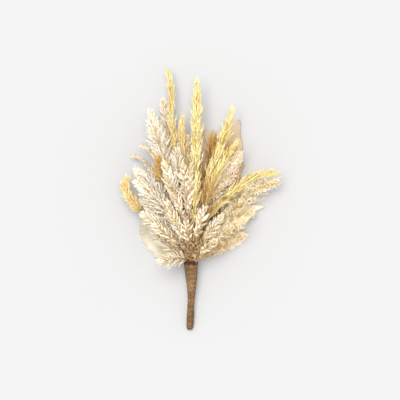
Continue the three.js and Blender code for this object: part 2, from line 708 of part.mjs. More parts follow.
function settleBranches(piece) {
  startDraws(piece);
  for (let i = 0; i < piece.count; i += 1) {
    const t = i / (piece.count - 1);
    const s = mix(piece.featherStart + 2, piece.whole - piece.barb * 1.2, t);
    const last = i === piece.count - 1;
    const length = last ? piece.barb * 1.25 : piece.barb * mix(2.3, 1.5, t);
    const lean = last ? 0.02 : spread(0.24, 0.34);
    for (const turn of [0, 0.6, -0.6, 1.2, -1.2, 1.9, -1.9]) {
      const root = placeAt(piece.line, piece.lengths, s);
      const angle = i * goldenTurn + turn;
      const frame = framesAlong([root, placeAt(piece.line, piece.lengths, s + 2)])[0];
      const out = frame.side.multiplyScalar(Math.cos(angle));
      out.addScaledVector(frame.up, Math.sin(angle));
      const tip = barbTip({ piece, s, length, lean }, root, out, 1);
      const bend = root.clone().lerp(tip, 0.5);
      bend.z += 0.6;
      const start = root.clone().lerp(tip, 0.22);
      if (isFree(piece.name, start, tip, branchRadius * 1.25)) {
        addRod(piece.name, start, tip, branchRadius * 1.25);
        piece.shapes.push(grainBranch(root, bend, tip, branchRadius, i));
        break;
      }
    }
  }
}

// A leaf: a thin blade with a lobed and toothed edge, gently waved, both faces alike.
function leafSurface(piece) {
  const count = piece.widths.length;
  const stations = [];
  for (let i = 0; i < count; i += 1) {
    const t = i / (count - 1);
    const s = mix(piece.start, piece.whole, t);
    const centre = placeAt(piece.line, piece.lengths, s);
    const ahead = placeAt(piece.line, piece.lengths, Math.min(s + 2, piece.whole));
    const behind = placeAt(piece.line, piece.lengths, Math.max(s - 2, 0));
    const along = ahead.sub(behind).setZ(0).normalize();
    const side = new THREE.Vector3(along.y, -along.x, 0);
    const [left, right] = piece.widths[i];
    const row = [];
    for (const across of [-1, -0.5, 0, 0.5, 1]) {
      const width = (across < 0 ? left : right) * gridStep;
      const p = centre.clone().addScaledVector(side, width * across);
      p.addScaledVector(along, leafForward * width * Math.abs(across));
      const wave = 0.9 + 0.9 * Math.sin(t * 11 + across * 2.2);
      p.z = centre.z + Math.abs(across) * wave;
      row.push(p);
    }
    stations.push(row);
  }
  return stations;
}

function leafBlade(stations) {
  const columns = stations[0].length;
  const points = [];
  for (const lift of [1, -1]) {
    for (const row of stations) {
      row.forEach((p, k) => points.push([p.x, p.y, p.z + (lift * leafThickness[k]) / 2]));
    }
  }
  const half = stations.length * columns;
  const faces = [];
  for (let i = 0; i + 1 < stations.length; i += 1) {
    for (let k = 0; k + 1 < columns; k += 1) {
      const a = i * columns + k;
      const b = a + 1;
      const c = a + columns;
      const d = c + 1;
      faces.push([a, b, d], [a, d, c]);
      faces.push([a + half, d + half, b + half], [a + half, c + half, d + half]);
    }
  }
  const edge = [];
  for (let k = 0; k + 1 < columns; k += 1) {
    edge.push(k);
  }
  for (let i = 0; i + 1 < stations.length; i += 1) {
    edge.push(i * columns + columns - 1);
  }
  for (let k = columns - 1; k > 0; k -= 1) {
    edge.push((stations.length - 1) * columns + k);
  }
  for (let i = stations.length - 1; i > 0; i -= 1) {
    edge.push(i * columns);
  }
  edge.forEach((a, n) => {
    const b = edge[(n + 1) % edge.length];
    faces.push([a, a + half, b + half], [a, b + half, b]);
  });
  return closedMesh(points, faces);
}

// A leaf leaves the neck and sinks to its own level just above the surface.
function settleLeafLine(piece) {
  for (const p of piece.line) {
    const away = Math.hypot(p.x - piece.line[0].x, p.y - piece.line[0].y);
    const level = piece.floor + leafThickness[2] / 2;
    const high = p.z;
    const sink = Math.min(Math.max((away - 2) / 34, 0), 1);
    const eased = sink * sink * (3 - 2 * sink);
    p.z = mix(Math.min(high, mouth.z), level, eased);
  }
}

function makeLeaf(piece) {
  const { start } = piece;
  const stops = stalkStops.filter((s) => s < start - 3);
  const end = placeAt(piece.line, piece.lengths, start + 14);
  const below = piece.line[0].clone().addScaledVector(neckAlong, -stemDepth);
  piece.places = [below, ...stops.map((s) => placeAt(piece.line, piece.lengths, s))];
  piece.places.push(placeAt(piece.line, piece.lengths, start), end);
  piece.radii = piece.places.map(() => stemRadius);
  piece.radii[piece.radii.length - 1] = tipRadius;
  piece.stations = leafSurface(piece);
}

// A block that takes away all that would stand below the surface the bunch lies on.
function belowSurface() {
  return solidFrom(new THREE.BoxGeometry(400, 600, 20).translate(0, 0, -10));
}

// The wound tape of the handle.
function handleAt(y) {
  let i = 1;
  while (i < handleProfile.length - 1 && handleProfile[i][1] < y) {
    i += 1;
  }
  const [x0, y0, r0] = handleProfile[i - 1];
  const [x1, y1, r1] = handleProfile[i];
  const t = Math.min(Math.max((y - y0) / (y1 - y0), 0), 1);
  return { x: mix(x0, x1, t), z: mouth.z + (y - mouth.y) * neckTilt, radius: mix(r0, r1, t) };
}

function handleRing(y, radiusAt) {
  const { x, z, radius } = handleAt(y);
  const ring = [];
  for (let s = 0; s < wrapSides; s += 1) {
    const angle = (2 * Math.PI * s) / wrapSides;
    const r = radiusAt(radius, angle);
    ring.push([x + Math.cos(angle) * r, y - Math.sin(angle) * r * neckTilt, z + Math.sin(angle) * r]);
  }
  return ring;
}

function makeHandleWrap() {
  const outer = [];
  const ys = [-230, -229, -227.5, -225.5];
  for (let y = -222.5; y < mouth.y - 2; y += tapePitch * 0.6) {
    ys.push(y);
  }
  ys.push(mouth.y);
  for (const y of ys) {
    const ridge = y < -224 || y === mouth.y ? 0 : tapeStep;
    outer.push(handleRing(y, (radius, angle) => {
      const turnShare = (y - mouth.y) / tapePitch + angle / (2 * Math.PI);
      return radius + ridge * (0.5 - (turnShare - Math.floor(turnShare)));
    }));
  }
  const inner = [-222, -194, -177, -164.5, -150, -118, mouth.y + 3].map(
    (y) => handleRing(y, (radius) => radius - wrapWall));
  const flip = (rings) => rings.map((ring) => [...ring].reverse());
  const shell = solidFrom(skin(flip(outer))).subtract(solidFrom(skin(flip(inner))));
  return shell.subtract(belowSurface());
}

function makeStemCore() {
  const rings = [-221.4, -194, -177, -164.5, -150, mouth.y - stemDepth - 1.9].map(
    (y) => handleRing(y, (radius, angle) => {
      const lobe = Math.round((angle / (2 * Math.PI)) * wrapSides) % 2 === 0 ? 1 : 0.86;
      return (radius - wrapWall - coreGap) * lobe;
    }));
  return solidFrom(skin(rings.map((ring) => [...ring].reverse())));
}

function prepareLeaf(piece) {
  piece.line = middleLine(piece);
  settleLeafLine(piece);
  piece.lengths = lengthsOf(piece.line);
  piece.whole = piece.lengths[piece.lengths.length - 1];
  makeLeaf(piece);
}

// Marks where a leaf lies, cell by cell, for the barbs above it.
function noteLeaf(piece) {
  for (let i = 0; i + 1 < piece.stations.length; i += 1) {
    const [row, next] = [piece.stations[i], piece.stations[i + 1]];
    for (let k = 0; k + 1 < row.length; k += 1) {
      const corners = [row[k], row[k + 1], next[k], next[k + 1]];
      const centre = corners.reduce((sum, p) => sum.add(p), new THREE.Vector3()).multiplyScalar(0.25);
      const reach = Math.max(...corners.map((p) => Math.hypot(p.x - centre.x, p.y - centre.y)));
      const top = Math.max(...corners.map((p) => p.z)) + leafThickness[2] / 2;
      leafPoints.push({ owner: piece.name, x: centre.x, y: centre.y, z: top, reach });
    }
  }
}

function noteStem(piece) {
  for (let i = 0; i + 1 < piece.places.length; i += 1) {
    addRod(piece.name, piece.places[i], piece.places[i + 1], Math.max(piece.radii[i], piece.radii[i + 1]));
  }
}

function pieceSolid(piece) {
  const faces = piece.facets.flatMap((facet) => facet.faces.map((face) => face.corners));
  const stem = solidFrom(closedMesh(piece.points.map((p) => p.toArray()), faces));
  const branches = piece.shapes.map(solidFrom);
  if (piece.kind === 'leaf') {
    const blade = solidFrom(leafBlade(piece.stations));
    return stem.add(blade).simplify(0.02).subtract(belowSurface());
  }
  return branches.length > 0 ? wasm.Manifold.union([stem, ...branches]).simplify(0.02) : stem;
}

// Stems and leaves come first, so that branches and barbs can keep clear of them.
const leaves = layout.filter((piece) => piece.kind === 'leaf');
const plumes = layout.filter((piece) => piece.kind !== 'leaf');
layout.forEach((piece) => {
  piece.shapes = [];
});
leaves.forEach(prepareLeaf);
plumes.forEach(prepareRachis);
plumes.forEach((piece) => thickenRachis(piece, layout));
layout.forEach(rachisSkin);
layout.forEach(noteStem);
leaves.forEach(noteLeaf);
plumes.filter((piece) => piece.kind === 'millet').forEach(settleBranches);

// The barbs nearest the tips are settled first.
const barbs = plumes.filter((piece) => piece.kind !== 'millet').flatMap(plannedBarbs);
barbs.sort((one, other) => other.s / other.piece.whole - one.s / one.piece.whole);
barbs.forEach(settleBarb);

const group = new THREE.Group();
layout.forEach((piece) => group.add(meshFrom(pieceSolid(piece), piece.name, piece.colour, 0.9)));
group.add(meshFrom(makeHandleWrap(), 'handle_wrap', 'wrap', 0.85));
group.add(meshFrom(makeStemCore(), 'stem_core', 'core', 0.9));

export default group;
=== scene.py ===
import json
import math

import bmesh
import bpy
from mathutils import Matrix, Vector, noise

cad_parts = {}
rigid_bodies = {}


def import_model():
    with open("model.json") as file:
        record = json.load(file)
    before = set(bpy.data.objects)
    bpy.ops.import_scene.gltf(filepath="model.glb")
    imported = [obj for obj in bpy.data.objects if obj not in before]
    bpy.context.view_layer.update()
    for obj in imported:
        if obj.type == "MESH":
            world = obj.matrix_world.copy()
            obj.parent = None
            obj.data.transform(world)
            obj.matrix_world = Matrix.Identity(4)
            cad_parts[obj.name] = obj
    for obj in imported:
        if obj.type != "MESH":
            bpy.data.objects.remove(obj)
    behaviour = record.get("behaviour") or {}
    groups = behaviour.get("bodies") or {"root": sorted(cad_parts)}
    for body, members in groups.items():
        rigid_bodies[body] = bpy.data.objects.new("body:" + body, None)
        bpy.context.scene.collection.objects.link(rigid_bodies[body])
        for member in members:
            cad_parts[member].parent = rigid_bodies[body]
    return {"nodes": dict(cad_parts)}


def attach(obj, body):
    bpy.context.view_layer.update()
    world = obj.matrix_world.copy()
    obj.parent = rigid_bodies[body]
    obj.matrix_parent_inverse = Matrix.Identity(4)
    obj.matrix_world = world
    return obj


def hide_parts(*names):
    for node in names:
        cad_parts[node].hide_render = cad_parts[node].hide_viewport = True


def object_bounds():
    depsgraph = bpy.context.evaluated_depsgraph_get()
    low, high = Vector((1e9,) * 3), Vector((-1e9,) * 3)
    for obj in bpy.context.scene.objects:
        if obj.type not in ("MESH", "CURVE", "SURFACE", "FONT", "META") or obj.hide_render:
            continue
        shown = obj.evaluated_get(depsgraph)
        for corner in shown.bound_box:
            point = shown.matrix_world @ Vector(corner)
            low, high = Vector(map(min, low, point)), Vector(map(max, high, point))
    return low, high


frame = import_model()
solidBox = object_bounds()
scene = bpy.context.scene
print("frame loaded")

# How the stems leave the bound neck and how the layers lie over each other.
neck = {
    "gridStep": 0.00175,
    "mouth": Vector((-0.017, -0.109, 0.026)),
    "slotPitch": 0.0023,
    "tilt": 0.18,
    "stemDepth": 0.008,
    "stemRadius": 0.00095,
    "straightRun": 0.026,
    "straightShare": 0.28,
    "settleWithin": 0.020,
    "middleLayer": 3,
    "topLayer": 6,
    "middleRise": 0.024,
    "layerSpread": 0.0145,
    "spreadWithin": 0.060,
    "riseWithin": 0.075,
    "sideFlatten": 0.3,
    "flattenWithin": 0.040,
    "sag": 0.03,
    "sagFrom": 0.180,
}

# Every piece of the bunch: where it runs in grid steps, root to tip, then its feathered length and its
# barb length. Values after these are its own and win over those of its kind.
# Leaves have their widths left and right of the midrib instead, and the height of their underside.
bunch = [
    dict(name="leaf_low_left", kind="leaf", layer=0, slot="pale_leaf", floor=0, start=0.008,
         path=[(-20, -57), (-40, -44), (-60.5, -20)],
         widths=[(2, 1), (5, 5), (9, 7), (13.5, 10), (12, 8.5), (17, 12), (14.5, 9.5), (17, 12),
                 (14, 9), (14.5, 10), (11.5, 8), (11, 8), (7, 5), (4.5, 3), (1, 1)]),
    dict(name="leaf_top_middle", kind="leaf", layer=0, slot="dry_leaf", floor=0.0036, start=0.070,
         path=[(0, 0), (7, 40), (8.5, 68)],
         widths=[(1.5, 1), (3, 4), (5, 7), (4.5, 6.5), (7, 10), (6, 8.5), (9, 12), (7, 10),
                 (8.5, 12.5), (7, 10.5), (8.5, 12), (7, 8), (5, 4.5)]),
    dict(name="leaf_top_right", kind="leaf", layer=0, slot="dry_leaf", floor=0, start=0.070,
         path=[(14, -8), (27, 34), (34, 79)],
         widths=[(1, 1), (5, 5), (8, 9), (7, 8), (11, 14), (10, 14), (12, 18), (11, 16.5),
                 (12, 18.5), (11, 13), (12, 13.5), (12, 12.3), (13, 9), (8, 7.8), (3, 6)]),
    dict(name="leaf_right", kind="leaf", layer=0, slot="dry_leaf", floor=0.0052, start=0.045, pale=0.9,
         path=[(12, -30), (40, -13), (63.5, -7.5)],
         widths=[(1, 1), (5, 5), (7, 7), (6, 6), (9, 9), (8, 7), (10, 8), (8, 6), (8.5, 5), (5, 3),
                 (3, 2), (0.6, 0.6)]),
    dict(name="leaf_low_right", kind="leaf", layer=0, slot="dry_leaf", floor=0, start=0.010, pale=0.8,
         path=[(4, -54), (24, -45), (48, -36)],
         widths=[(1, 1.4), (5, 3), (8, 5), (7, 4), (11, 7), (9, 5.5), (12, 8), (10, 6.5), (12, 9),
                 (9, 7), (10, 7.5), (7, 5), (5, 4), (1, 1)]),
    dict(name="cream_plume_curly_left", kind="plume", layer=1,
         path=[(-34, 4), (-52, 31), (-60, 42), (-70.5, 44)], feather=0.080, barb=0.008,
         perMetre=1400, barbScale=0.8, rootShare=3.0, innerPerMetre=1200, front=0.8),
    dict(name="cream_plume_inner_left", kind="plume", layer=1, path=[(-30, 40), (-33, 70), (-38.5, 102)],
         feather=0.125, barb=0.018, perMetre=1350, barbScale=1.2, front=0.6, rootPale=0.3, innerReach=0.9),
    dict(name="blush_plume_small_middle", kind="plume", layer=1, slot="blush_plume",
         path=[(-12, 20), (-13.5, 66)], feather=0.075, barb=0.011),
    dict(name="gold_tuft_right", kind="tuft", layer=1, path=[(6, 30), (15, 66)], feather=0.050, barb=0.020,
         barbScale=1.3, front=1.0),
    dict(name="gold_tuft_far_right", kind="tuft", layer=1, path=[(14, 18), (36, 53)],
         feather=0.040, barb=0.018),
    dict(name="millet_spray_low", kind="millet", layer=1, path=[(24, -31), (52, -12.5)],
         feather=0.095, barb=0.019, perMetre=1000, barbScale=1.3),
    dict(name="millet_spray_lowest", kind="millet", layer=1, path=[(18, -46), (42, -36)],
         feather=0.075, barb=0.018, perMetre=760, barbScale=1.2),
    dict(name="cream_plume_lowest_left", kind="plume", layer=2, path=[(-28, -52), (-50, -31)],
         feather=0.070, barb=0.015, huskLength=0.012),
    dict(name="gold_curl_far_left", kind="spike", layer=2, slot="ochre_spike",
         path=[(-50, -20), (-61.5, -11), (-69.5, -1), (-75, 9), (-75, 17), (-71.5, 21.5)],
         feather=0.068, barb=0.020, perMetre=2200, barbScale=0.72, leanLow=22.0, leanHigh=48.0,
         floretWidth=1.6, rootShare=1.0, tipShare=0.9),
    dict(name="cream_plume_curl_upper", kind="plume", layer=2,
         path=[(-32, 18), (-46, 42), (-52, 51), (-61.5, 54.5)], feather=0.075, barb=0.009,
         perMetre=1400, barbScale=0.8, rootShare=3.0, innerPerMetre=1200, front=0.8),
    dict(name="yellow_spike_tall_left", kind="spike", layer=2,
         path=[(-28.5, 64), (-29.5, 94), (-29.5, 108), (-33.5, 131.3)], feather=0.150, barb=0.019),
    dict(name="ochre_spike_middle", kind="spike", layer=2, slot="ochre_spike",
         path=[(-16, 32), (-20, 64), (-18, 82)], feather=0.110, barb=0.021),
    dict(name="blush_plume_right", kind="plume", layer=2, slot="blush_plume",
         path=[(11, 2), (26, 26), (39.5, 47)], feather=0.125, barb=0.023, perMetre=1100, barbScale=1.4,
         leanLow=16.0, barbThread=0.0008, florets=20, floret="grain", floretLength=0.0052,
         floretWidth=1.25, floretLean=60.0, innerPerMetre=3600, innerLength=0.0095, front=1.0),
    dict(name="millet_spray_right", kind="millet", layer=2, path=[(14, -30), (34, -9), (49, 9), (76, 18)],
         feather=0.140, barb=0.024, rootShare=1.5),
    dict(name="cream_plume_wide_middle", kind="plume", layer=3, path=[(-29, -24), (-60, 1)],
         feather=0.095, barb=0.020, perMetre=1900, barbScale=1.2, leanHigh=62.0, front=0.85),
    dict(name="cream_plume_wide_upper", kind="plume", layer=3, path=[(-32, -4), (-65.5, 30)],
         feather=0.115, barb=0.023, perMetre=1900, barbScale=1.25),
    dict(name="cream_plume_tall_left", kind="plume", layer=3, path=[(-32, 22), (-42, 56), (-50.5, 89)],
         feather=0.145, barb=0.025, front=0.8, rootPale=0.2, innerReach=0.9),
    dict(name="yellow_spike_tall_middle", kind="spike", layer=3, path=[(-5, 34), (-3.5, 120)],
         feather=0.225, barb=0.028, perMetre=820, barbScale=1.25, tipShare=0.42),
    dict(name="yellow_spike_upper_right", kind="spike", layer=3, path=[(4.5, 14), (21.5, 54), (31, 89)],
         feather=0.155, barb=0.026),
    dict(name="yellow_spike_arched", kind="spike", layer=3,
         path=[(6.5, -16), (27.5, 2), (44.5, 17), (60, 25), (75.5, 26)],
         feather=0.165, barb=0.023, perMetre=900, barbScale=1.3, husks=16, huskEnd=0.13),
    dict(name="cream_plume_low_left", kind="plume", layer=4, path=[(-25.5, -34), (-60.5, -14)],
         feather=0.095, barb=0.021),
    dict(name="cream_plume_wide_lower", kind="plume", layer=4, path=[(-29, -12), (-66.5, 19)],
         feather=0.110, barb=0.023),
    dict(name="gold_tuft_left", kind="tuft", layer=4, path=[(-30, 8), (-44, 41)], feather=0.056, barb=0.023,
         perMetre=2600, barbScale=1.2, leanHigh=52.0, front=1.0),
    dict(name="cream_plume_upper_middle", kind="plume", layer=4, path=[(-24, 18), (-23.5, 52)],
         feather=0.060, barb=0.015, barbScale=1.2),
    dict(name="yellow_spike_small_right", kind="spike", layer=4, path=[(9.5, 19), (36, 57)],
         feather=0.105, barb=0.022),
    dict(name="millet_spray_front", kind="millet", layer=4, path=[(12, -36), (44.5, -20)],
         feather=0.088, barb=0.019, perMetre=1000, barbScale=1.2),
    dict(name="cream_plume_left_short", kind="thickPlume", layer=5, path=[(-28, -41), (-49, -23)],
         feather=0.056, barb=0.015, lowTint=0.4),
    dict(name="cream_plume_long_left", kind="thickPlume", layer=5, path=[(-20, -8), (-38, 39)],
         feather=0.102, barb=0.021, tipShare=0.35),
    dict(name="cream_plume_long_middle", kind="thickPlume", layer=5, path=[(-12, -5), (-18.5, 38)],
         feather=0.088, barb=0.017, tipShare=0.4),
    dict(name="cream_plume_long_right", kind="thickPlume", layer=5, path=[(-10, -5), (-10, 35)],
         feather=0.074, barb=0.012),
    dict(name="yellow_stem_middle", kind="spike", layer=5, path=[(-5, -10), (-4, 24)],
         feather=0.090, barb=0.022, perMetre=560, lowPerMetre=100),
    dict(name="brown_tuft_middle", kind="tuft", layer=5, slot="brown_tuft", path=[(3, -16), (9, 21)],
         feather=0.060, barb=0.021),
    dict(name="cream_plume_right_short", kind="thickPlume", layer=5, path=[(6, -36), (22.5, -15)],
         feather=0.060, barb=0.016, perMetre=620, barbThread=0.0018),
    dict(name="cream_plume_base_left", kind="plume", layer=6, path=[(-27, -60), (-43, -62)],
         feather=0.054, barb=0.016, perMetre=1700, barbScale=1.15, leanHigh=60.0, rootShare=1.2, front=0.9,
         huskLength=0.012),
    dict(name="cream_plume_front_left", kind="thickPlume", layer=6, path=[(-20.5, -34), (-34.5, 0)],
         feather=0.078, barb=0.016),
    dict(name="cream_plume_front_middle", kind="thickPlume", layer=6, path=[(-13, -40), (-15, -17)],
         feather=0.050, barb=0.015),
    dict(name="cream_plume_front_right", kind="thickPlume", layer=6, path=[(-5, -34), (5, -5)],
         feather=0.064, barb=0.016),
    dict(name="cream_plume_low_right", kind="thickPlume", layer=6, path=[(2, -51), (17.5, -40)],
         feather=0.046, barb=0.014, perMetre=640, barbScale=0.95, barbThread=0.0018),
]


def mix(a, b, t):
    return a + (b - a) * t


def clamp(value, low, high):
    return min(max(value, low), high)


def smooth(t):
    t = clamp(t, 0, 1)
    return t * t * (3 - 2 * t)


# Paths of the pieces: out of the neck, then along the given path, each layer at its own height.
def layerHeight(layer, x, y):
    mouth = neck["mouth"]
    away = math.hypot(x - mouth.x, y - mouth.y)
    outward = 1 if away < 1e-9 else (y - mouth.y) / away
    opened = 1 - math.exp(-away / neck["spreadWithin"])
    sideways = (1 - max(outward, 0)) * (1 - math.exp(-away / neck["flattenWithin"]))
    climbed = neck["middleRise"] * (1 - math.exp(-away / neck["riseWithin"]))
    middle = mouth.z + climbed - neck["sag"] * max(away - neck["sagFrom"], 0)
    apart = neck["slotPitch"] + neck["layerSpread"] * opened
    return middle + (layer - neck["middleLayer"]) * apart * (1 - neck["sideFlatten"] * sideways)


def slotPlace(piece):
    row = [other for other in bunch if other["layer"] == piece["layer"]]
    across = (row.index(piece) - (len(row) - 1) / 2) * neck["slotPitch"]
    rise = (piece["layer"] - neck["middleLayer"]) * neck["slotPitch"]
    length = math.hypot(1, neck["tilt"])
    return neck["mouth"] + Vector((across, -rise * neck["tilt"] / length, rise / length))


def bezierRun(a, b, c, count=60):
    return [a.lerp(b, t).lerp(b.lerp(c, t), t) for t in (i / count for i in range(count))]


def lengthsOf(line):
    lengths = [0.0]
    for before, after in zip(line, line[1:]):
        lengths.append(lengths[-1] + (after - before).length)
    return lengths


def placeAt(line, lengths, s):
    i = 1
    while i < len(line) - 1 and lengths[i] < s:
        i += 1
    t = (s - lengths[i - 1]) / (lengths[i] - lengths[i - 1])
    return line[i - 1].lerp(line[i], clamp(t, 0, 1))


def middleLine(piece, steps=90):
    start = slotPlace(piece)
    through = [Vector((x, y, 0)) * neck["gridStep"] for x, y in piece["path"]]
    first = Vector((start.x, start.y, 0))
    run = min(neck["straightRun"], neck["straightShare"] * (through[0] - first).length)
    corners = [first, first + Vector((0, run, 0))] + through
    flat = []
    origin = first
    for i in range(1, len(corners) - 1):
        isLast = i == len(corners) - 2
        to = corners[i + 1] if isLast else corners[i].lerp(corners[i + 1], 0.5)
        flat += bezierRun(origin, corners[i], to)
        origin = to
    flat.append(origin)
    lengths = lengthsOf(flat)
    even = [placeAt(flat, lengths, lengths[-1] * i / steps) for i in range(steps + 1)]
    line = [Vector((p.x, p.y, layerHeight(piece["layer"], p.x, p.y))) for p in even]
    offset = start.z - line[0].z
    for p in line:
        p.z += offset * math.exp(-math.hypot(p.x - start.x, p.y - start.y) / neck["settleWithin"])
    return line


def withRoot(line):
    down = Vector((0, 1, neck["tilt"])).normalized() * -neck["stemDepth"]
    return [line[0] + down] + line


# Small tools for meshes.
def linked(name, data):
    made = bpy.data.objects.new(name, data)
    scene.collection.objects.link(made)
    return made


def meshObject(name, mesh, material=None):
    data = bpy.data.meshes.new(name)
    mesh.to_mesh(data)
    mesh.free()
    if material:
        data.materials.append(material)
    return linked(name, data)


def ringAround(mesh, centre, side, other, radius, sides):
    return [mesh.verts.new(centre + (side * math.cos(a) + other * math.sin(a)) * radius)
            for a in (2 * math.pi * k / sides for k in range(sides))]


# Keeps a piece inside the box of the solid bunch.
def keepInside(made, margin=0.0002):
    low, high = solidBox
    for vertex in made.data.vertices:
        for k in range(3):
            vertex.co[k] = clamp(vertex.co[k], low[k] + (0 if k == 2 else margin), high[k] - margin)


def finished(made, name):
    keepInside(made)
    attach(made, "root")
    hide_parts(name)


# Small tools for node trees.
def newTree(name, inputs):
    tree = bpy.data.node_groups.new(name, "GeometryNodeTree")
    for kind, labels in inputs.items():
        for label in labels:
            tree.interface.new_socket(name=label, in_out="INPUT", socket_type="NodeSocket" + kind)
    tree.interface.new_socket(name="geometry", in_out="OUTPUT", socket_type="NodeSocketGeometry")
    return tree


def setInputs(modifier, values):
    for item in modifier.node_group.interface.items_tree:
        if item.in_out == "INPUT" and item.name != "geometry":
            modifier[item.identifier] = values[item.name]


def setOrLink(tree, socket, value):
    if isinstance(value, bpy.types.NodeSocket):
        tree.links.new(value, socket)
    else:
        socket.default_value = value


def node(tree, kind, settings=None, **values):
    made = tree.nodes.new(kind)
    for key, value in (settings or {}).items():
        setattr(made, key, value)
    for key, value in values.items():
        socket = next(s for s in made.inputs if s.identifier == key or s.name.replace(" ", "") == key)
        setOrLink(tree, socket, value)
    return made


def maths(tree, operation, *values):
    made = node(tree, "ShaderNodeMath", {"operation": operation})
    for socket, value in zip(made.inputs, values):
        setOrLink(tree, socket, value)
    return made.outputs[0]


def chained(tree, operation, first, others):
    for other in others:
        first = maths(tree, operation, first, other)
    return first


def times(tree, first, *others):
    return chained(tree, "MULTIPLY", first, others)


def plus(tree, first, *others):
    return chained(tree, "ADD", first, others)


def between(tree, low, high, seed):
    made = node(tree, "FunctionNodeRandomValue", {"data_type": "FLOAT"},
                Min_001=low, Max_001=high, Seed=seed)
    return next(s for s in made.outputs if s.identifier == "Value_001")


def ranged(tree, value, fromLow, fromHigh, toLow, toHigh):
    return node(tree, "ShaderNodeMapRange", Value=value, FromMin=fromLow, FromMax=fromHigh, ToMin=toLow,
                ToMax=toHigh).outputs[0]


def vector(tree, x, y, z):
    return node(tree, "ShaderNodeCombineXYZ", X=x, Y=y, Z=z).outputs[0]


def halfWave(tree, reach, span, start):
    return maths(tree, "SINE", times(tree, plus(tree, times(tree, reach, span), start), math.pi))


def turned(tree, rotation, x=0.0, y=0.0, z=0.0):
    by = node(tree, "FunctionNodeEulerToRotation", Euler=vector(tree, x, y, z)).outputs[0]
    return node(tree, "FunctionNodeRotateRotation", {"rotation_space": "LOCAL"}, Rotation=rotation,
                RotateBy=by).outputs[0]


def joined(tree, *parts):
    made = tree.nodes.new("GeometryNodeJoinGeometry")
    for part in parts:
        tree.links.new(part, made.inputs[0])
    return made.outputs[0]


def realised(tree, geometry):
    return node(tree, "GeometryNodeRealizeInstances", Geometry=geometry).outputs[0]


def noted(tree, geometry, name, value, domain):
    return node(tree, "GeometryNodeStoreNamedAttribute", {"data_type": "FLOAT", "domain": domain},
                Geometry=geometry, Name=name, Value=value).outputs[0]


def remembered(tree, name):
    return node(tree, "GeometryNodeInputNamedAttribute", {"data_type": "FLOAT"}, Name=name).outputs[0]


def placed(tree, points, shape, rotation, size):
    return node(tree, "GeometryNodeInstanceOnPoints", Points=points, Instance=shape, Rotation=rotation,
                Scale=size).outputs[0]


def seatsAlong(tree, curve, count):
    return node(tree, "GeometryNodeCurveToPoints", {"mode": "COUNT"}, Curve=curve, Count=count)


def stretchOf(tree, curve, start, end):
    return node(tree, "GeometryNodeTrimCurve", {"mode": "LENGTH"}, Curve=curve, Start_001=start,
                End_001=end).outputs[0]


def rodAlong(tree, curve, sides, radius):
    outline = node(tree, "GeometryNodeCurvePrimitiveCircle", {"mode": "RADIUS"},
                   Resolution=sides, Radius=1.0)
    return node(tree, "GeometryNodeCurveToMesh", Curve=curve, ProfileCurve=outline.outputs[0], Scale=radius,
                FillCaps=True).outputs[0]


# Barbs in a spiral along a stretch of the stem, each a thin bowed thread with florets along it.
barbShape = {
    "nextTurn": 2.39996,           # radians round the stem from one barb to the next
    "turnDraw": (-0.35, 0.35),
    "lengthDraw": (0.78, 1.16),
    "youngUntil": 0.25,            # share of the stretch where the barbs reach their full length
    "oldFrom": 0.55,               # where they grow shorter again
    "closeFrom": 0.75,             # where they start to close towards the tip
    "closedLean": 0.35,
    "arcPoints": 5,
    "arcRise": 0.55,
    "threadWave": (0.80, 0.16),    # the stretch of a half wave that gives a thread its width, and its start
    "floretWave": (0.72, 0.16),
    "floretDraw": (0.70, 1.25),
    "floretLeanDraw": (0.4, 1.3),
}


def barbGroup(tree, given, stretch, count, length, thread, toneHigh, seed):
    shape = barbShape

    def draw(limits, shift):
        return between(tree, *limits, plus(tree, seed, float(shift)))

    marked = seatsAlong(tree, stretch, count)
    index = node(tree, "GeometryNodeInputIndex").outputs[0]
    share = maths(tree, "DIVIDE", index, count)
    young = ranged(tree, share, 0.0, shape["youngUntil"], given["rootShare"], 1.0)
    old = ranged(tree, share, shape["oldFrom"], 1.0, 1.0, given["tipShare"])
    length = times(tree, length, times(tree, young, old), draw(shape["lengthDraw"], 0))
    lean = maths(tree, "RADIANS", draw((given["leanLow"], given["leanHigh"]), 1))
    lean = times(tree, lean, ranged(tree, share, shape["closeFrom"], 1.0, 1.0, shape["closedLean"]))
    around = plus(tree, times(tree, index, shape["nextTurn"]), draw(shape["turnDraw"], 0))
    spin = turned(tree, turned(tree, marked.outputs["Rotation"], z=around), y=lean)
    arc = node(tree, "GeometryNodeCurveQuadraticBezier", Resolution=shape["arcPoints"], Start=(0, 0, 0),
               Middle=vector(tree, given["curl"], 0.0, shape["arcRise"]), End=(0, 0, 1)).outputs[0]
    barbs = placed(tree, marked.outputs["Points"], arc, spin, vector(tree, length, length, length))
    barbs = realised(tree, noted(tree, barbs, "tone", draw((0.0, toneHigh), 2), "INSTANCE"))
    out = node(tree, "GeometryNodeSplineParameter").outputs["Factor"]
    barbs = noted(tree, barbs, "reach", ranged(tree, out, 0.0, 1.0, given["rootPale"], 1.0), "POINT")
    threads = rodAlong(tree, barbs, 3, times(tree, halfWave(tree, out, *shape["threadWave"]), thread))

    seats = seatsAlong(tree, barbs, given["florets"])
    wide = halfWave(tree, remembered(tree, "reach"), *shape["floretWave"])
    size = times(tree, given["floretLength"], wide, draw(shape["floretDraw"], 3))
    width = times(tree, size, given["floretWidth"])
    tilt = maths(tree, "RADIANS", times(tree, given["floretLean"], draw(shape["floretLeanDraw"], 5)))
    spin = turned(tree, turned(tree, seats.outputs["Rotation"], z=draw((0.0, 2 * math.pi), 4)), y=tilt)
    floret = node(tree, "GeometryNodeObjectInfo", Object=given["floret"]).outputs["Geometry"]
    florets = placed(tree, seats.outputs["Points"], floret, spin, vector(tree, width, width, size))
    ownTone = draw((0.0, toneHigh), 6)
    tone = plus(tree, times(tree, remembered(tree, "tone"), 0.5), times(tree, ownTone, 0.5))
    return threads, noted(tree, florets, "tone", tone, "INSTANCE")


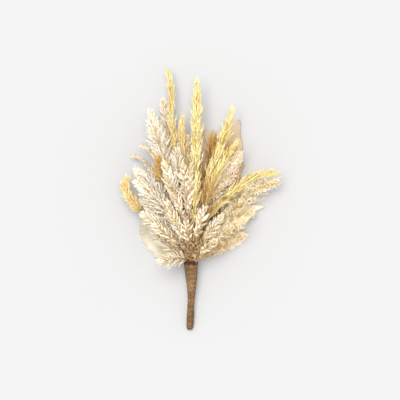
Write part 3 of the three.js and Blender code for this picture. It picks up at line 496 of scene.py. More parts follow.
# Blades set straight on a stretch of the stem: inner florets or dry husks.
def bladeGroup(tree, stretch, count, blade, length, width, leans, seed):
    seats = seatsAlong(tree, stretch, count)
    around = between(tree, 0.0, 2 * math.pi, plus(tree, seed, 0.0))
    lean = between(tree, *leans, plus(tree, seed, 1.0))
    spin = turned(tree, turned(tree, seats.outputs["Rotation"], z=around), y=lean)
    size = times(tree, length, between(tree, *headShape["bladeDraw"], plus(tree, seed, 2.0)))
    across = times(tree, size, width)
    shape = node(tree, "GeometryNodeObjectInfo", Object=blade).outputs["Geometry"]
    return placed(tree, seats.outputs["Points"], shape, spin, vector(tree, across, across, size))


# One grass head: a stem, barbs round its upper part, a few small ones and dry husks lower down.
headShape = {
    "stemThins": 0.62,
    "lowThread": 0.0011,           # the thickest thread of a low barb
    "lowToneHigh": 0.8,
    "bladeDraw": (0.55, 1.25),
    "innerLeans": (0.25, 1.0),
    "innerTones": (0.0, 0.8),
    "innerReachLow": 0.05,
    "huskLeans": (0.05, 0.36),
    "huskTones": (0.3, 1.0),
    "leastStart": 0.012,
    "tuftEnd": 0.62,               # where the stem of a tuft stops, as a share of its feathered length
    "lowStart": 0.002,
    "huskPast": 0.012,
    "huskEnds": (0.03, 0.12),
}
headInputs = {
    "Geometry": ["geometry"],
    "Float": ["featherStart", "wholeLength", "stemRadius", "barbLength", "leanLow", "leanHigh",
              "curl", "rootShare", "tipShare", "barbThread", "rootPale", "floretLength",
              "floretWidth", "floretLean", "innerLength", "innerReach", "lowStart", "lowLength",
              "lowTint", "huskLength", "huskEnd", "front"],
    "Int": ["barbs", "florets", "innerFlorets", "lowBarbs", "husks", "seed"],
    "Object": ["floret", "husk"],
    "Material": ["material"],
}


def makeHeadTree():
    shape = headShape
    tree = newTree("grassHead", headInputs)
    given = tree.nodes.new("NodeGroupInput").outputs

    def seeded(shift):
        return plus(tree, given["seed"], float(shift))

    rachis = node(tree, "GeometryNodeMeshToCurve", Mesh=given["geometry"]).outputs[0]
    along = node(tree, "GeometryNodeSplineParameter").outputs["Factor"]
    left = maths(tree, "SUBTRACT", 1.0, times(tree, along, shape["stemThins"]))
    stem = rodAlong(tree, rachis, 6, times(tree, left, given["stemRadius"]))

    feathered = stretchOf(tree, rachis, given["featherStart"], given["wholeLength"])
    threads, florets = barbGroup(tree, given, feathered, given["barbs"], given["barbLength"],
                                 given["barbThread"], 1.0, given["seed"])
    bare = stretchOf(tree, rachis, given["lowStart"], given["featherStart"])
    lowThread = maths(tree, "MINIMUM", given["barbThread"], shape["lowThread"])
    lowThreads, lowFlorets = barbGroup(tree, given, bare, given["lowBarbs"], given["lowLength"],
                                       lowThread, shape["lowToneHigh"], seeded(500))
    low = joined(tree, lowThreads, realised(tree, lowFlorets))
    # the low barbs by the neck take the husks' brown: painted shade low in the bundle
    low = noted(tree, low, "husk", given["lowTint"], "POINT")

    inner = bladeGroup(tree, feathered, given["innerFlorets"], given["floret"], given["innerLength"],
                       given["floretWidth"], shape["innerLeans"], seeded(6))
    innerReach = between(tree, shape["innerReachLow"], given["innerReach"], seeded(9))
    inner = noted(tree, inner, "reach", innerReach, "INSTANCE")
    inner = noted(tree, inner, "tone", between(tree, *shape["innerTones"], seeded(10)), "INSTANCE")

    # dry husks in their own brown, which also fill the gaps low in the bundle as painted shade
    covered = stretchOf(tree, rachis, given["lowStart"], given["huskEnd"])
    husks = bladeGroup(tree, covered, given["husks"], given["husk"], given["huskLength"], 1.0,
                       shape["huskLeans"], seeded(11))
    husks = noted(tree, husks, "husk", between(tree, *shape["huskTones"], seeded(14)), "INSTANCE")

    whole = realised(tree, joined(tree, stem, threads, florets, low, inner, husks))
    whole = noted(tree, whole, "front", given["front"], "POINT")
    whole = node(tree, "GeometryNodeSetMaterial", Geometry=whole, Material=given["material"]).outputs[0]
    tree.links.new(whole, tree.nodes.new("NodeGroupOutput").inputs[0])
    return tree


# Florets: a few thin spindles, one unit long, that leave one point; a grain sits at the end of its
# stalk. Each spindle has the place of its tip, its radius, its sides, where it is widest and where it
# starts, both as shares of the way to the tip.
floretShapes = {
    "feather": [((0.0, 0.0, 1.0), 0.085, 3, 0.35, 0), ((0.30, 0.10, 0.80), 0.070, 3, 0.35, 0),
                ((-0.26, 0.16, 0.78), 0.070, 3, 0.35, 0)],
    "soft": [((0.0, 0.0, 1.0), 0.085, 3, 0.35, 0), ((0.30, 0.10, 0.80), 0.070, 3, 0.35, 0)],
    "awn": [((0.0, 0.0, 1.0), 0.060, 3, 0.22, 0), ((0.12, 0.06, 0.72), 0.060, 3, 0.30, 0),
            ((-0.10, 0.08, 0.62), 0.060, 3, 0.30, 0)],
    "tuft": [((0.0, 0.0, 1.0), 0.080, 3, 0.40, 0), ((0.22, 0.04, 0.74), 0.070, 3, 0.40, 0),
             ((-0.14, -0.18, 0.66), 0.070, 3, 0.40, 0)],
    "grain": [((0.0, 0.0, 0.70), 0.045, 3, 0.30, 0), ((0.10, 0.0, 1.0), 0.22, 4, 0.50, 0.45)],
}


def spindle(mesh, start, end, radius, sides, waist):
    along = (end - start).normalized()
    side = along.orthogonal().normalized()
    foot = mesh.verts.new(start)
    head = mesh.verts.new(end)
    ring = ringAround(mesh, start.lerp(end, waist), side, along.cross(side), radius, sides)
    for k in range(sides):
        n = (k + 1) % sides
        mesh.faces.new((foot, ring[n], ring[k]))
        mesh.faces.new((head, ring[k], ring[n]))


def floretObject(name, blades):
    mesh = bmesh.new()
    for tip, radius, sides, waist, foot in blades:
        spindle(mesh, Vector(tip) * foot, Vector(tip), radius, sides, waist)
    return meshObject(name, mesh)


# A husk: a narrow folded blade that bends outwards, one unit long.
huskShape = {
    "rows": 7,
    "halfWidth": 0.058,
    "wave": (0.12, 0.86),          # start and stretch of the half wave that gives its width
    "leastWidth": 0.004,
    "bend": 0.22,
    "section": ((0.012, -1), (-0.020, 0), (0.012, 1), (0.020, 0)),     # off the blade, and side
}


def huskObject(name):
    shape = huskShape
    start, span = shape["wave"]
    mesh = bmesh.new()
    rows = []
    for i in range(shape["rows"] + 1):
        t = i / shape["rows"]
        wide = shape["halfWidth"] * math.sin(math.pi * (start + span * t)) + shape["leastWidth"]
        centre = Vector((shape["bend"] * t * t, 0, t))
        rows.append([mesh.verts.new(centre + Vector((off, side * wide, 0)))
                     for off, side in shape["section"]])
    for one, other in zip(rows, rows[1:]):
        for k in range(4):
            mesh.faces.new((one[k], one[(k + 1) % 4], other[(k + 1) % 4], other[k]))
    mesh.faces.new(list(reversed(rows[0])))
    mesh.faces.new(rows[-1])
    bmesh.ops.recalc_face_normals(mesh, faces=mesh.faces)
    return meshObject(name, mesh)


dryHusk = huskObject("dryHusk")
patterns = {name: floretObject(name + "Floret", blades) for name, blades in floretShapes.items()}
print("florets made")


# Small tools for materials.
def colour(hexText):
    channels = [int(hexText[i:i + 2], 16) / 255 for i in (1, 3, 5)]
    return [c / 12.92 if c <= 0.04045 else ((c + 0.055) / 1.055) ** 2.4 for c in channels] + [1.0]


def shaderTree(name, roughness, specular):
    material = bpy.data.materials.new(name)
    material.use_nodes = True
    tree = material.node_tree
    tree.nodes.clear()
    shader = tree.nodes.new("ShaderNodeBsdfPrincipled")
    shader.inputs["Roughness"].default_value = roughness
    shader.inputs["Specular IOR Level"].default_value = specular
    output = tree.nodes.new("ShaderNodeOutputMaterial")
    tree.links.new(shader.outputs[0], output.inputs[0])
    return material, tree, shader


def ramp(tree, factor, stops):
    made = tree.nodes.new("ShaderNodeValToRGB")
    for element, (position, shade) in zip(made.color_ramp.elements, (stops[0], stops[-1])):
        element.position, element.color = position, colour(shade)
    for position, shade in stops[1:-1]:
        made.color_ramp.elements.new(position).color = colour(shade)
    tree.links.new(factor, made.inputs[0])
    return made.outputs[0]


def blend(tree, mode, amount, a, b):
    made = node(tree, "ShaderNodeMix", {"data_type": "RGBA", "blend_type": mode},
                Factor_Float=amount, A_Color=a, B_Color=b)
    return next(s for s in made.outputs if s.identifier == "Result_Color")


def attribute(tree, name):
    return node(tree, "ShaderNodeAttribute", {"attribute_name": name}).outputs["Fac"]


def partsOf(tree, place):
    parts = tree.nodes.new("ShaderNodeSeparateXYZ")
    tree.links.new(place, parts.inputs[0])
    return parts.outputs


def objectPlace(tree):
    return tree.nodes.new("ShaderNodeTexCoord").outputs["Object"]


def uvParts(tree, name):
    return partsOf(tree, node(tree, "ShaderNodeUVMap", {"uv_map": name}).outputs[0])


def noiseAt(tree, scale, detail=3.0, stretch=(1, 1, 1)):
    place = node(tree, "ShaderNodeMapping", Vector=objectPlace(tree), Scale=stretch).outputs[0]
    return node(tree, "ShaderNodeTexNoise", Vector=place, Scale=scale, Detail=detail).outputs["Fac"]


def noiseShades(tree, look):
    noisy = noiseAt(tree, look["scale"], look["detail"], look.get("stretch", (1, 1, 1)))
    return ramp(tree, noisy, look["shades"])


def roughen(tree, shader, height, strength, depth=0.0006):
    bump = node(tree, "ShaderNodeBump", Strength=strength, Distance=depth, Height=height)
    tree.links.new(bump.outputs[0], shader.inputs["Normal"])


# Chaff colour and painted shade gather deep in the bundle: colour is darkened low down, towards the neck
# and along the line from the neck up through its middle.
chaff = {
    "middleLean": 0.29,
    "middleFrom": 0.0135,
    "clearAside": 13.5,
    "beyondFrom": 0.03,
    "clearBeyond": 8.0,
    "clearUp": 11.0,
    "shade": [(0.25, "#ae843e"), (0.5, "#e6c480"), (0.9, "#ffffff")],
}


def paintChaffAndShade(tree, amount, body):
    x, y, z = partsOf(tree, objectPlace(tree))
    middle = plus(tree, times(tree, y, chaff["middleLean"]), chaff["middleFrom"])
    aside = maths(tree, "ABSOLUTE", maths(tree, "SUBTRACT", x, middle))
    beyond = maths(tree, "MAXIMUM", maths(tree, "SUBTRACT", y, chaff["beyondFrom"]), 0.0)
    clear = plus(tree, times(tree, aside, chaff["clearAside"]), times(tree, beyond, chaff["clearBeyond"]),
                 times(tree, z, chaff["clearUp"]))
    return blend(tree, "MULTIPLY", amount, body, ramp(tree, clear, chaff["shade"]))


# Heads: dry and matte, darker at the root of each barb and paler at its tip; the dark root is
# partly the stem's own brown and partly painted shade close in by the stem.
plainLook = {
    "roughness": 0.85,
    "specular": 0.15,
    "sheen": 0.6,
    "sheenRoughness": 0.5,
    "patchScale": 38.0,
    "patchDetail": 2.0,
    "patchAmount": 0.8,
    "toneShare": [(0.0, "#ffffff"), (1.0, "#ffffff")],
    # depth, by front: painted shade that makes the lower layers a little darker
    "depth": [(0.0, "#faf2e2"), (0.4, "#ffffff"), (1.0, "#ffffff")],
    # how strongly chaff colour and painted shade deep in the bundle are laid on
    "chaff": 0.9,
    "husk": {"scale": 160.0, "detail": 3.0,
             "shades": [(0.3, "#7a521c"), (0.5, "#b08440"), (0.7, "#dcba7c")]},
}
looks = {
    "cream_plume": {
        "along": [(0.0, "#84571f"), (0.06, "#cca868"), (0.17, "#ecd9ac"), (0.32, "#f9f2e0"),
                  (1.0, "#fefcf4")],
        "tones": [(0.12, "#a07a34"), (0.32, "#dec488"), (0.47, "#fbf5e6"), (0.7, "#ffffff")],
        "toneAmount": 0.9,
        "toneShare": [(0.4, "#b4b4b4"), (0.85, "#c8c8c8"), (1.0, "#dcdcdc")],
        "patches": [(0.3, "#f8f0e2"), (0.6, "#ffffff")],
        "depth": [(0.0, "#fbf2de"), (0.5, "#ffffff"), (1.0, "#fffdf8")],
        "sheen": 0.35,
    },
    "blush_plume": {
        "along": [(0.0, "#b8966a"), (0.08, "#f8ead0"), (0.3, "#fff8ea"), (1.0, "#fffbf0")],
        "tones": [(0.1, "#dcb67c"), (0.3, "#fae8c6"), (0.5, "#fffbee"), (0.8, "#ffffff")],
        "toneAmount": 0.85,
        "patches": [(0.3, "#f8eedc"), (0.6, "#ffffff")],
        "chaff": 0.15,
    },
    "yellow_spike": {
        "along": [(0.0, "#8c7840"), (0.12, "#d2c282"), (0.4, "#f2e6ac"), (1.0, "#fcf4c8")],
        "tones": [(0.1, "#cdb26c"), (0.3, "#eedda0"), (0.5, "#fcf5da"), (0.8, "#ffffff")],
        "toneAmount": 0.7,
        "patches": [(0.3, "#f6e9c8"), (0.6, "#ffffff")],
    },
    "ochre_spike": {
        "along": [(0.0, "#90783e"), (0.15, "#dcc888"), (0.5, "#f6e6ae"), (1.0, "#fdf4cc")],
        "tones": [(0.0, "#eed69c"), (0.4, "#fcf2d6"), (1.0, "#ffffff")],
        "toneAmount": 0.7,
        "patches": [(0.3, "#f4e4c2"), (0.6, "#ffffff")],
    },
    "gold_tuft": {
        "along": [(0.0, "#865f1e"), (0.25, "#b88a30"), (0.6, "#d2a948"), (1.0, "#e8cb78")],
        "tones": [(0.0, "#e2c08a"), (0.4, "#faeccf"), (1.0, "#ffffff")],
        "toneAmount": 0.6,
        "patches": [(0.3, "#f2dfb8"), (0.6, "#ffffff")],
    },
    "brown_tuft": {
        "along": [(0.0, "#8a6c2c"), (0.3, "#c29c48"), (0.6, "#dab866"), (1.0, "#ecd490")],
        "tones": [(0.0, "#d0aa6c"), (0.5, "#f6e0b4"), (1.0, "#ffffff")],
        "toneAmount": 0.6,
        "patches": [(0.3, "#e0c298"), (0.6, "#ffffff")],
    },
    "millet_grain": {
        "along": [(0.0, "#a88a54"), (0.15, "#f0e4c0"), (0.6, "#fcf6e0"), (1.0, "#fffaea")],
        "tones": [(0.12, "#c09a54"), (0.28, "#f2dcac"), (0.45, "#fffbea"), (0.8, "#ffffff")],
        "toneAmount": 0.9,
        "patches": [(0.3, "#f6e8c8"), (0.6, "#ffffff")],
        "depth": [(0.0, "#fffaee"), (0.4, "#ffffff"), (1.0, "#ffffff")],
        "chaff": 0.6,
    },
}


def featherMaterial(name, own):
    look = {**plainLook, **own}
    material, tree, shader = shaderTree(name, look["roughness"], look["specular"])
    body = ramp(tree, attribute(tree, "reach"), look["along"])
    front = attribute(tree, "front")
    toneAmount = times(tree, ramp(tree, front, look["toneShare"]), look["toneAmount"])
    body = blend(tree, "MULTIPLY", toneAmount, body, ramp(tree, attribute(tree, "tone"), look["tones"]))
    patches = ramp(tree, noiseAt(tree, look["patchScale"], look["patchDetail"]), look["patches"])
    body = blend(tree, "MULTIPLY", look["patchAmount"], body, patches)
    # painted shade: the further back a piece lies, the darker it is drawn
    body = blend(tree, "MULTIPLY", 1.0, body, ramp(tree, front, look["depth"]))
    # chaff colour and painted shade deep in the bundle
    body = paintChaffAndShade(tree, look["chaff"], body)
    # the husks' brown: on the husks their own colour, on the low barbs painted shade
    body = blend(tree, "MIX", attribute(tree, "husk"), body, noiseShades(tree, look["husk"]))
    tree.links.new(body, shader.inputs["Base Color"])
    shader.inputs["Sheen Weight"].default_value = look["sheen"]
    shader.inputs["Sheen Roughness"].default_value = look["sheenRoughness"]
    return material


materials = {name: featherMaterial(name, look) for name, look in looks.items()}
print("feather materials made")

# How each kind of head is feathered, on top of what all heads share.
plainHead = {"lowPerMetre": 260, "lowLength": 0.016, "lowTint": 0.6, "husks": 12, "huskLength": 0.030,
             "innerReach": 0.6, "rootPale": 0.0}
kinds = {
    "plume": {"slot": "cream_plume", "perMetre": 1600, "barbScale": 1.1, "leanLow": 26.0, "leanHigh": 56.0,
              "curl": 0.16, "rootShare": 0.75, "tipShare": 0.5, "barbThread": 0.0012, "florets": 5,
              "floret": "soft", "floretShare": 0.30, "floretWidth": 1.2, "floretLean": 20.0,
              "innerPerMetre": 2000, "innerLength": 0.0075},
    "spike": {"slot": "yellow_spike", "perMetre": 700, "barbScale": 1.15, "leanLow": 9.0, "leanHigh": 26.0,
              "curl": 0.05, "rootShare": 0.85, "tipShare": 0.6, "barbThread": 0.0009, "florets": 6,
              "floret": "awn", "floretShare": 0.40, "floretWidth": 1.3, "floretLean": 12.0,
              "innerPerMetre": 1200, "innerLength": 0.008},
    "tuft": {"slot": "gold_tuft", "perMetre": 1300, "barbScale": 1.2, "leanLow": 8.0, "leanHigh": 44.0,
             "curl": 0.14, "rootShare": 1.0, "tipShare": 1.0, "barbThread": 0.0007, "florets": 8,
             "floret": "tuft", "floretShare": 0.28, "floretWidth": 1.2, "floretLean": 26.0,
             "innerPerMetre": 1200, "innerLength": 0.006},
    "millet": {"slot": "millet_grain", "perMetre": 900, "barbScale": 1.5, "leanLow": 8.0, "leanHigh": 60.0,
               "curl": 0.14, "rootShare": 1.8, "tipShare": 0.62, "barbThread": 0.0005, "florets": 24,
               "floret": "grain", "floretLength": 0.0046, "floretWidth": 1.1, "floretLean": 75.0,
               "innerPerMetre": 1200, "innerLength": 0.0060, "lowPerMetre": 420, "lowLength": 0.026,
               "lowTint": 0.05},
}
kinds["thickPlume"] = {
    **kinds["plume"], "perMetre": 520, "barbScale": 1.08, "leanLow": 28.0, "leanHigh": 50.0,
    "rootShare": 0.4, "barbThread": 0.0024, "rootPale": 0.12, "florets": 8, "floret": "feather",
    "floretWidth": 1.9, "floretLean": 16.0, "innerReach": 0.32, "lowPerMetre": 460, "lowTint": 0.5,
    "huskLength": 0.018,
}
headTree = makeHeadTree()


def plainMesh(made):
    graph = bpy.context.evaluated_depsgraph_get()
    data = bpy.data.meshes.new_from_object(made.evaluated_get(graph), preserve_all_data_layers=True,
                                           depsgraph=graph)
    made.modifiers.clear()
    made.data = data
    data.name = made.name


def makeHead(piece, number):
    head = {**plainHead, **kinds[piece["kind"]], **piece}
    line = middleLine(piece)
    whole = lengthsOf(line)[-1]
    start = max(whole - head["feather"], headShape["leastStart"])
    isTuft = head["kind"] == "tuft"
    end = mix(start, whole, headShape["tuftEnd"]) if isTuft else whole
    past = clamp(start + headShape["huskPast"], *headShape["huskEnds"])
    depth = neck["stemDepth"]
    if "floretLength" not in head:
        head["floretLength"] = head["floretShare"] * head["barb"]
    head.update({
        "featherStart": start + depth,
        "wholeLength": end + depth - (0 if isTuft else 0.5 * head["barb"]),
        "stemRadius": neck["stemRadius"],
        "barbs": round(head["perMetre"] * (end - start)),
        "barbLength": head["barbScale"] * head["barb"],
        "innerFlorets": round(head["innerPerMetre"] * (end - start)),
        "lowStart": depth + headShape["lowStart"],
        "lowBarbs": round(head["lowPerMetre"] * max(start - headShape["lowStart"], 0)),
        "huskEnd": head.get("huskEnd", past) + depth,
        # front: by layer unless the row gives it; it sets painted shade, a high value painting a shaded
        # piece lighter
        "front": head.get("front", head["layer"] / neck["topLayer"]),
        "floret": patterns[head["floret"]],
        "husk": dryHusk,
        "seed": 20 * number + 3,
        "material": materials[head["slot"]],
    })
    root = withRoot(line)
    data = bpy.data.meshes.new("stem")
    data.from_pydata(root, [(i, i + 1) for i in range(len(root) - 1)], [])
    made = linked(head["name"] + "_look", data)
    modifier = made.modifiers.new("feathers", "NODES")
    modifier.node_group = headTree
    setInputs(modifier, head)
    plainMesh(made)
    finished(made, head["name"])
    return len(made.data.polygons)


heads = [piece for piece in bunch if piece["kind"] != "leaf"]
faceCount = sum(makeHead(piece, number) for number, piece in enumerate(heads))
for pattern in (*patterns.values(), dryHusk):
    bpy.data.objects.remove(pattern)
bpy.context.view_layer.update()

# Leaves: thin blades with lobes, teeth and raised veins, each on a round stalk.
leafShape = {
    "rows": 120,
    "columns": 24,
    "thickness": (0.00050, 0.00070, 0.00130),   # edge, half way, midrib
    "forward": 0.32,
    "veinStep": 0.0075,
    "veinHeight": 0.00008,
    "veinLean": 0.45,
    "toothStep": 0.0042,
    "toothDepth": 0.0016,
    "toothWithin": 0.01,
    "wave": 0.0009,
    "waveAlong": 11,
    "waveAcross": 2.2,
    "ripple": 0.0006,
    "rippleScale": 60,
    "clearance": 0.0008,
    "sinkFrom": 0.002,
    "sinkWithin": 0.034,
    "lookAlong": 0.002,
    "stalkRadius": 0.00095,
    "stalkStep": 0.004,
    "stalkInto": 0.014,
    "stalkSides": 8,
    "stalkMark": (0.5, 0.0),       # every stalk takes its colour from the foot of the midrib
}


def leafLine(piece):
    shape = leafShape
    line = middleLine(piece)
    low = piece["floor"] + shape["clearance"]
    for p in line:
        away = math.hypot(p.x - line[0].x, p.y - line[0].y)
        p.z = mix(min(p.z, neck["mouth"].z), low, smooth((away - shape["sinkFrom"]) / shape["sinkWithin"]))
    return line


def widthAt(piece, t, isLeft):
    widths = piece["widths"]
    where = clamp(t, 0, 1) * (len(widths) - 1)
    i = min(int(where), len(widths) - 2)
    k = 0 if isLeft else 1
    return mix(widths[i][k], widths[i + 1][k], where - i) * neck["gridStep"]


def thicknessAt(edge):
    low, half, rib = leafShape["thickness"]
    return mix(rib, half, min(edge * 5, 1)) if edge < 0.5 else mix(half, low, (edge - 0.5) * 2)


# The upper and lower point of a blade, from -1 at its left edge to 1 at its right.
def bladePoints(piece, number, t, s, a, centre, along):
    shape = leafShape
    edge = abs(a)
    side = Vector((along.y, -along.x, 0))
    width = widthAt(piece, t, a < 0)
    jag = noise.noise(Vector((s / shape["toothStep"], 4.0 * (a > 0), number)))
    width -= shape["toothDepth"] * (0.5 + jag) * edge ** 3 * min(1, width / shape["toothWithin"])
    p = centre + side * width * a + along * shape["forward"] * width * edge
    wave = shape["wave"] + shape["wave"] * math.sin(t * shape["waveAlong"] + a * shape["waveAcross"])
    phase = (s - shape["veinLean"] * edge * width) / shape["veinStep"]
    vein = max(0, math.cos(2 * math.pi * phase)) ** 6 * shape["veinHeight"] * (1 - edge)
    over = Vector((p.x * shape["rippleScale"], p.y * shape["rippleScale"], number))
    z = centre.z + edge * wave + shape["ripple"] * noise.noise(over) * edge
    thick = thicknessAt(edge)
    return (p.x, p.y, z + thick / 2 + vein), (p.x, p.y, max(z - thick / 2, 0))


def closeBlade(mesh, top, bottom):
    last = len(top[0]) - 1
    for i in range(len(top) - 1):
        for k in range(last):
            mesh.faces.new((top[i][k], top[i][k + 1], top[i + 1][k + 1], top[i + 1][k]))
            mesh.faces.new((bottom[i][k], bottom[i + 1][k], bottom[i + 1][k + 1], bottom[i][k + 1]))
        mesh.faces.new((top[i][0], top[i + 1][0], bottom[i + 1][0], bottom[i][0]))
        mesh.faces.new((top[i][last], bottom[i][last], bottom[i + 1][last], top[i + 1][last]))
    for k in range(last):
        mesh.faces.new((top[0][k], bottom[0][k], bottom[0][k + 1], top[0][k + 1]))
        mesh.faces.new((top[-1][k], top[-1][k + 1], bottom[-1][k + 1], bottom[-1][k]))


def addStalk(mesh, line, marks):
    shape = leafShape
    rings = []
    for i, p in enumerate(line):
        along = (line[min(i + 1, len(line) - 1)] - line[max(i - 1, 0)]).normalized()
        side = Vector((along.y, -along.x, 0)).normalized()
        ring = ringAround(mesh, p, side, side.cross(along), shape["stalkRadius"], shape["stalkSides"])
        marks.update({vert: shape["stalkMark"] for vert in ring})
        rings.append(ring)
    for one, other in zip(rings, rings[1:]):
        for k in range(len(one)):
            n = (k + 1) % len(one)
            mesh.faces.new((one[k], one[n], other[n], other[k]))
    mesh.faces.new(list(reversed(rings[0])))
    mesh.faces.new(rings[-1])


def makeLeaf(piece, number):
    shape = leafShape
    line = leafLine(piece)
    lengths = lengthsOf(line)
    whole = lengths[-1]
    mesh = bmesh.new()
    grid = mesh.loops.layers.uv.new("blade")
    across = [2 * k / shape["columns"] - 1 for k in range(shape["columns"] + 1)]
    top, bottom, marks = [], [], {}
    for i in range(shape["rows"] + 1):
        t = i / shape["rows"]
        s = mix(piece["start"], whole, t)
        centre = placeAt(line, lengths, s)
        along = (placeAt(line, lengths, min(s + shape["lookAlong"], whole))
                 - placeAt(line, lengths, max(s - shape["lookAlong"], 0)))
        along.z = 0
        along.normalize()
        rowTop, rowBottom = [], []
        for a in across:
            upper, lower = bladePoints(piece, number, t, s, a, centre, along)
            rowTop.append(mesh.verts.new(upper))
            rowBottom.append(mesh.verts.new(lower))
            marks[rowTop[-1]] = marks[rowBottom[-1]] = ((a + 1) / 2, s)
        top.append(rowTop)
        bottom.append(rowBottom)
    closeBlade(mesh, top, bottom)
    stalkCount = int((piece["start"] + shape["stalkInto"]) / shape["stalkStep"]) + 1
    stalk = [placeAt(line, lengths, i * shape["stalkStep"]) for i in range(stalkCount)]
    addStalk(mesh, withRoot(stalk), marks)
    bmesh.ops.recalc_face_normals(mesh, faces=mesh.faces)
    for face in mesh.faces:
        face.smooth = True
        for loop in face.loops:
            loop[grid].uv = marks[loop.vert]
    made = meshObject(piece["name"] + "_look", mesh, materials[piece["slot"]])
    # paleness: the leaf's own paler tone, and painted light where the millet sprays shade it
    paleness = made.data.attributes.new("pale", "FLOAT", "POINT")
    paleness.data.foreach_set("value", [piece.get("pale", 0.0)] * len(made.data.vertices))
    finished(made, piece["name"])


plainLeaf = {
    "roughness": 0.8,
    "specular": 0.2,
    "blotchScale": 30.0,
    "palestScale": 45.0,
    "fineScale": 420.0,
    "fineAmount": 0.7,
    "veinLean": 1.4,
    "veinThinness": 9.0,
    "veinAmount": 0.25,
    "rimFrom": 0.38,
    "rimAmount": 0.8,
    "chaff": 0.8,
    "bumpScale": 300.0,
    "bump": 0.25,
}
leafLooks = {
    "dry_leaf": {
        "blotches": [(0.25, "#b6a28a"), (0.5, "#ccb9a2"), (0.75, "#dccdb8")],
        "palest": [(0.3, "#ecdfc6"), (0.55, "#f8f0de"), (0.75, "#fcf8ee")],
        "fine": [(0.3, "#efe2d2"), (0.7, "#ffffff")],
        "vein": "#c9b7a4",
        "rim": "#ece0d0",
    },
    "pale_leaf": {
        "blotches": [(0.25, "#b2ab90"), (0.5, "#c9c3b0"), (0.75, "#dad6c8")],
        "palest": [(0.3, "#e4e0d0"), (0.7, "#f0ece0")],
        "fine": [(0.3, "#f4eee0"), (0.7, "#ffffff")],
        "vein": "#d8d4c6",
        "rim": "#f0ece0",
    },
}


def leafMaterial(name, own):
    look = {**plainLeaf, **own}
    material, tree, shader = shaderTree(name, look["roughness"], look["specular"])
    blotches = ramp(tree, noiseAt(tree, look["blotchScale"], 5.0), look["blotches"])
    palest = ramp(tree, noiseAt(tree, look["palestScale"], 4.0), look["palest"])
    # pale: the right-hand leaves' own paler tone, and painted light where the millet sprays shade them
    body = blend(tree, "MIX", attribute(tree, "pale"), blotches, palest)
    fine = ramp(tree, noiseAt(tree, look["fineScale"]), look["fine"])
    body = blend(tree, "MULTIPLY", look["fineAmount"], body, fine)
    blade = uvParts(tree, "blade")
    edge = maths(tree, "ABSOLUTE", maths(tree, "SUBTRACT", blade["X"], 0.5))
    steps = times(tree, blade["Y"], 1 / leafShape["veinStep"])
    phase = maths(tree, "SUBTRACT", steps, times(tree, edge, look["veinLean"]))
    wave = maths(tree, "ABSOLUTE", maths(tree, "COSINE", times(tree, phase, math.pi)))
    vein = times(tree, maths(tree, "POWER", wave, look["veinThinness"]), look["veinAmount"])
    body = blend(tree, "MIX", vein, body, colour(look["vein"]))
    rim = ramp(tree, edge, [(0.0, "#ffffff"), (look["rimFrom"], "#ffffff"), (0.5, look["rim"])])
    # the rim is darkened, then chaff colour and painted shade deep in the bundle are laid on
    body = paintChaffAndShade(tree, look["chaff"], blend(tree, "MULTIPLY", look["rimAmount"], body, rim))
    tree.links.new(body, shader.inputs["Base Color"])
    roughen(tree, shader, noiseAt(tree, look["bumpScale"], 4.0), look["bump"])
    return material


materials.update({name: leafMaterial(name, look) for name, look in leafLooks.items()})
for number, piece in enumerate(piece for piece in bunch if piece["kind"] == "leaf"):
    makeLeaf(piece, number)
print("leaves made")

# The handle: tape wound in overlapping turns from the blunt end to the mouth.
handle = {
    "profile": [(-0.0193, -0.2300, 0.0024), (-0.0193, -0.2290, 0.0042), (-0.0192, -0.2265, 0.0053),
                (-0.0189, -0.2220, 0.0057), (-0.0184, -0.2130, 0.0059), (-0.0180, -0.2030, 0.0058),
                (-0.0176, -0.1940, 0.0055), (-0.0169, -0.1770, 0.0054), (-0.0163, -0.1645, 0.0065),
                (-0.0162, -0.1500, 0.0081), (-0.0166, -0.1330, 0.0103), (-0.0170, -0.1180, 0.0116),
                (-0.0170, -0.1090, 0.0122)],       # sideways place, place along Y, radius
    "sides": 60,
    "rows": 190,
    "pitch": 0.0084,
    "step": 0.00080,
    "wall": 0.00135,
    "mouthDepth": 0.009,
    "mouthRings": 4,
    "ragged": 0.0080,
    "raggedWithin": 0.03,
    "crumple": 0.00045,
    "crumpleScale": 420,
    "fuller": 0.0006,
    "inside": 0.0002,              # taken off everywhere, so the blunt end stays inside the solid one
    "tailWithin": 0.008,           # the turns fade out this near the blunt end
    "rimWithin": 0.002,            # and this near the mouth
    "closeWithin": 0.004,
}


def handleAt(y):
    profile = handle["profile"]
    i = 1
    while i < len(profile) - 1 and profile[i][1] < y:
        i += 1
    x0, y0, r0 = profile[i - 1]
    x1, y1, r1 = profile[i]
    t = clamp((y - y0) / (y1 - y0), 0, 1)
    mouth = neck["mouth"]
    return mix(x0, x1, t), mouth.z + (y - mouth.y) * neck["tilt"], mix(r0, r1, t)


def turnAt(angle, y):
    return (y - neck["mouth"].y) / handle["pitch"] + angle / (2 * math.pi)


def noiseRound(angle, size, third):
    return noise.noise(Vector((math.cos(angle) * size, math.sin(angle) * size, third)))


def raggedAt(angle):
    torn = 0.8 * noiseRound(angle, 3.1, 3.0) + 0.8 * noiseRound(angle, 9.0, 8.0)
    return handle["ragged"] * clamp(0.5 + torn, 0, 1)


def tapeRadius(radius, angle, y):
    up = y - handle["profile"][0][1]
    ends = smooth(up / handle["tailWithin"]) * smooth((neck["mouth"].y - y) / handle["rimWithin"])
    ridge = handle["step"] * (0.5 - turnAt(angle, y) % 1) * ends
    crumple = handle["crumple"] * noiseRound(angle, 3, y * handle["crumpleScale"])
    full = smooth(up / handle["closeWithin"])
    return radius + (ridge + crumple + handle["fuller"]) * full - handle["inside"]


def innerRadius(radius, angle, y):
    return radius - handle["wall"]


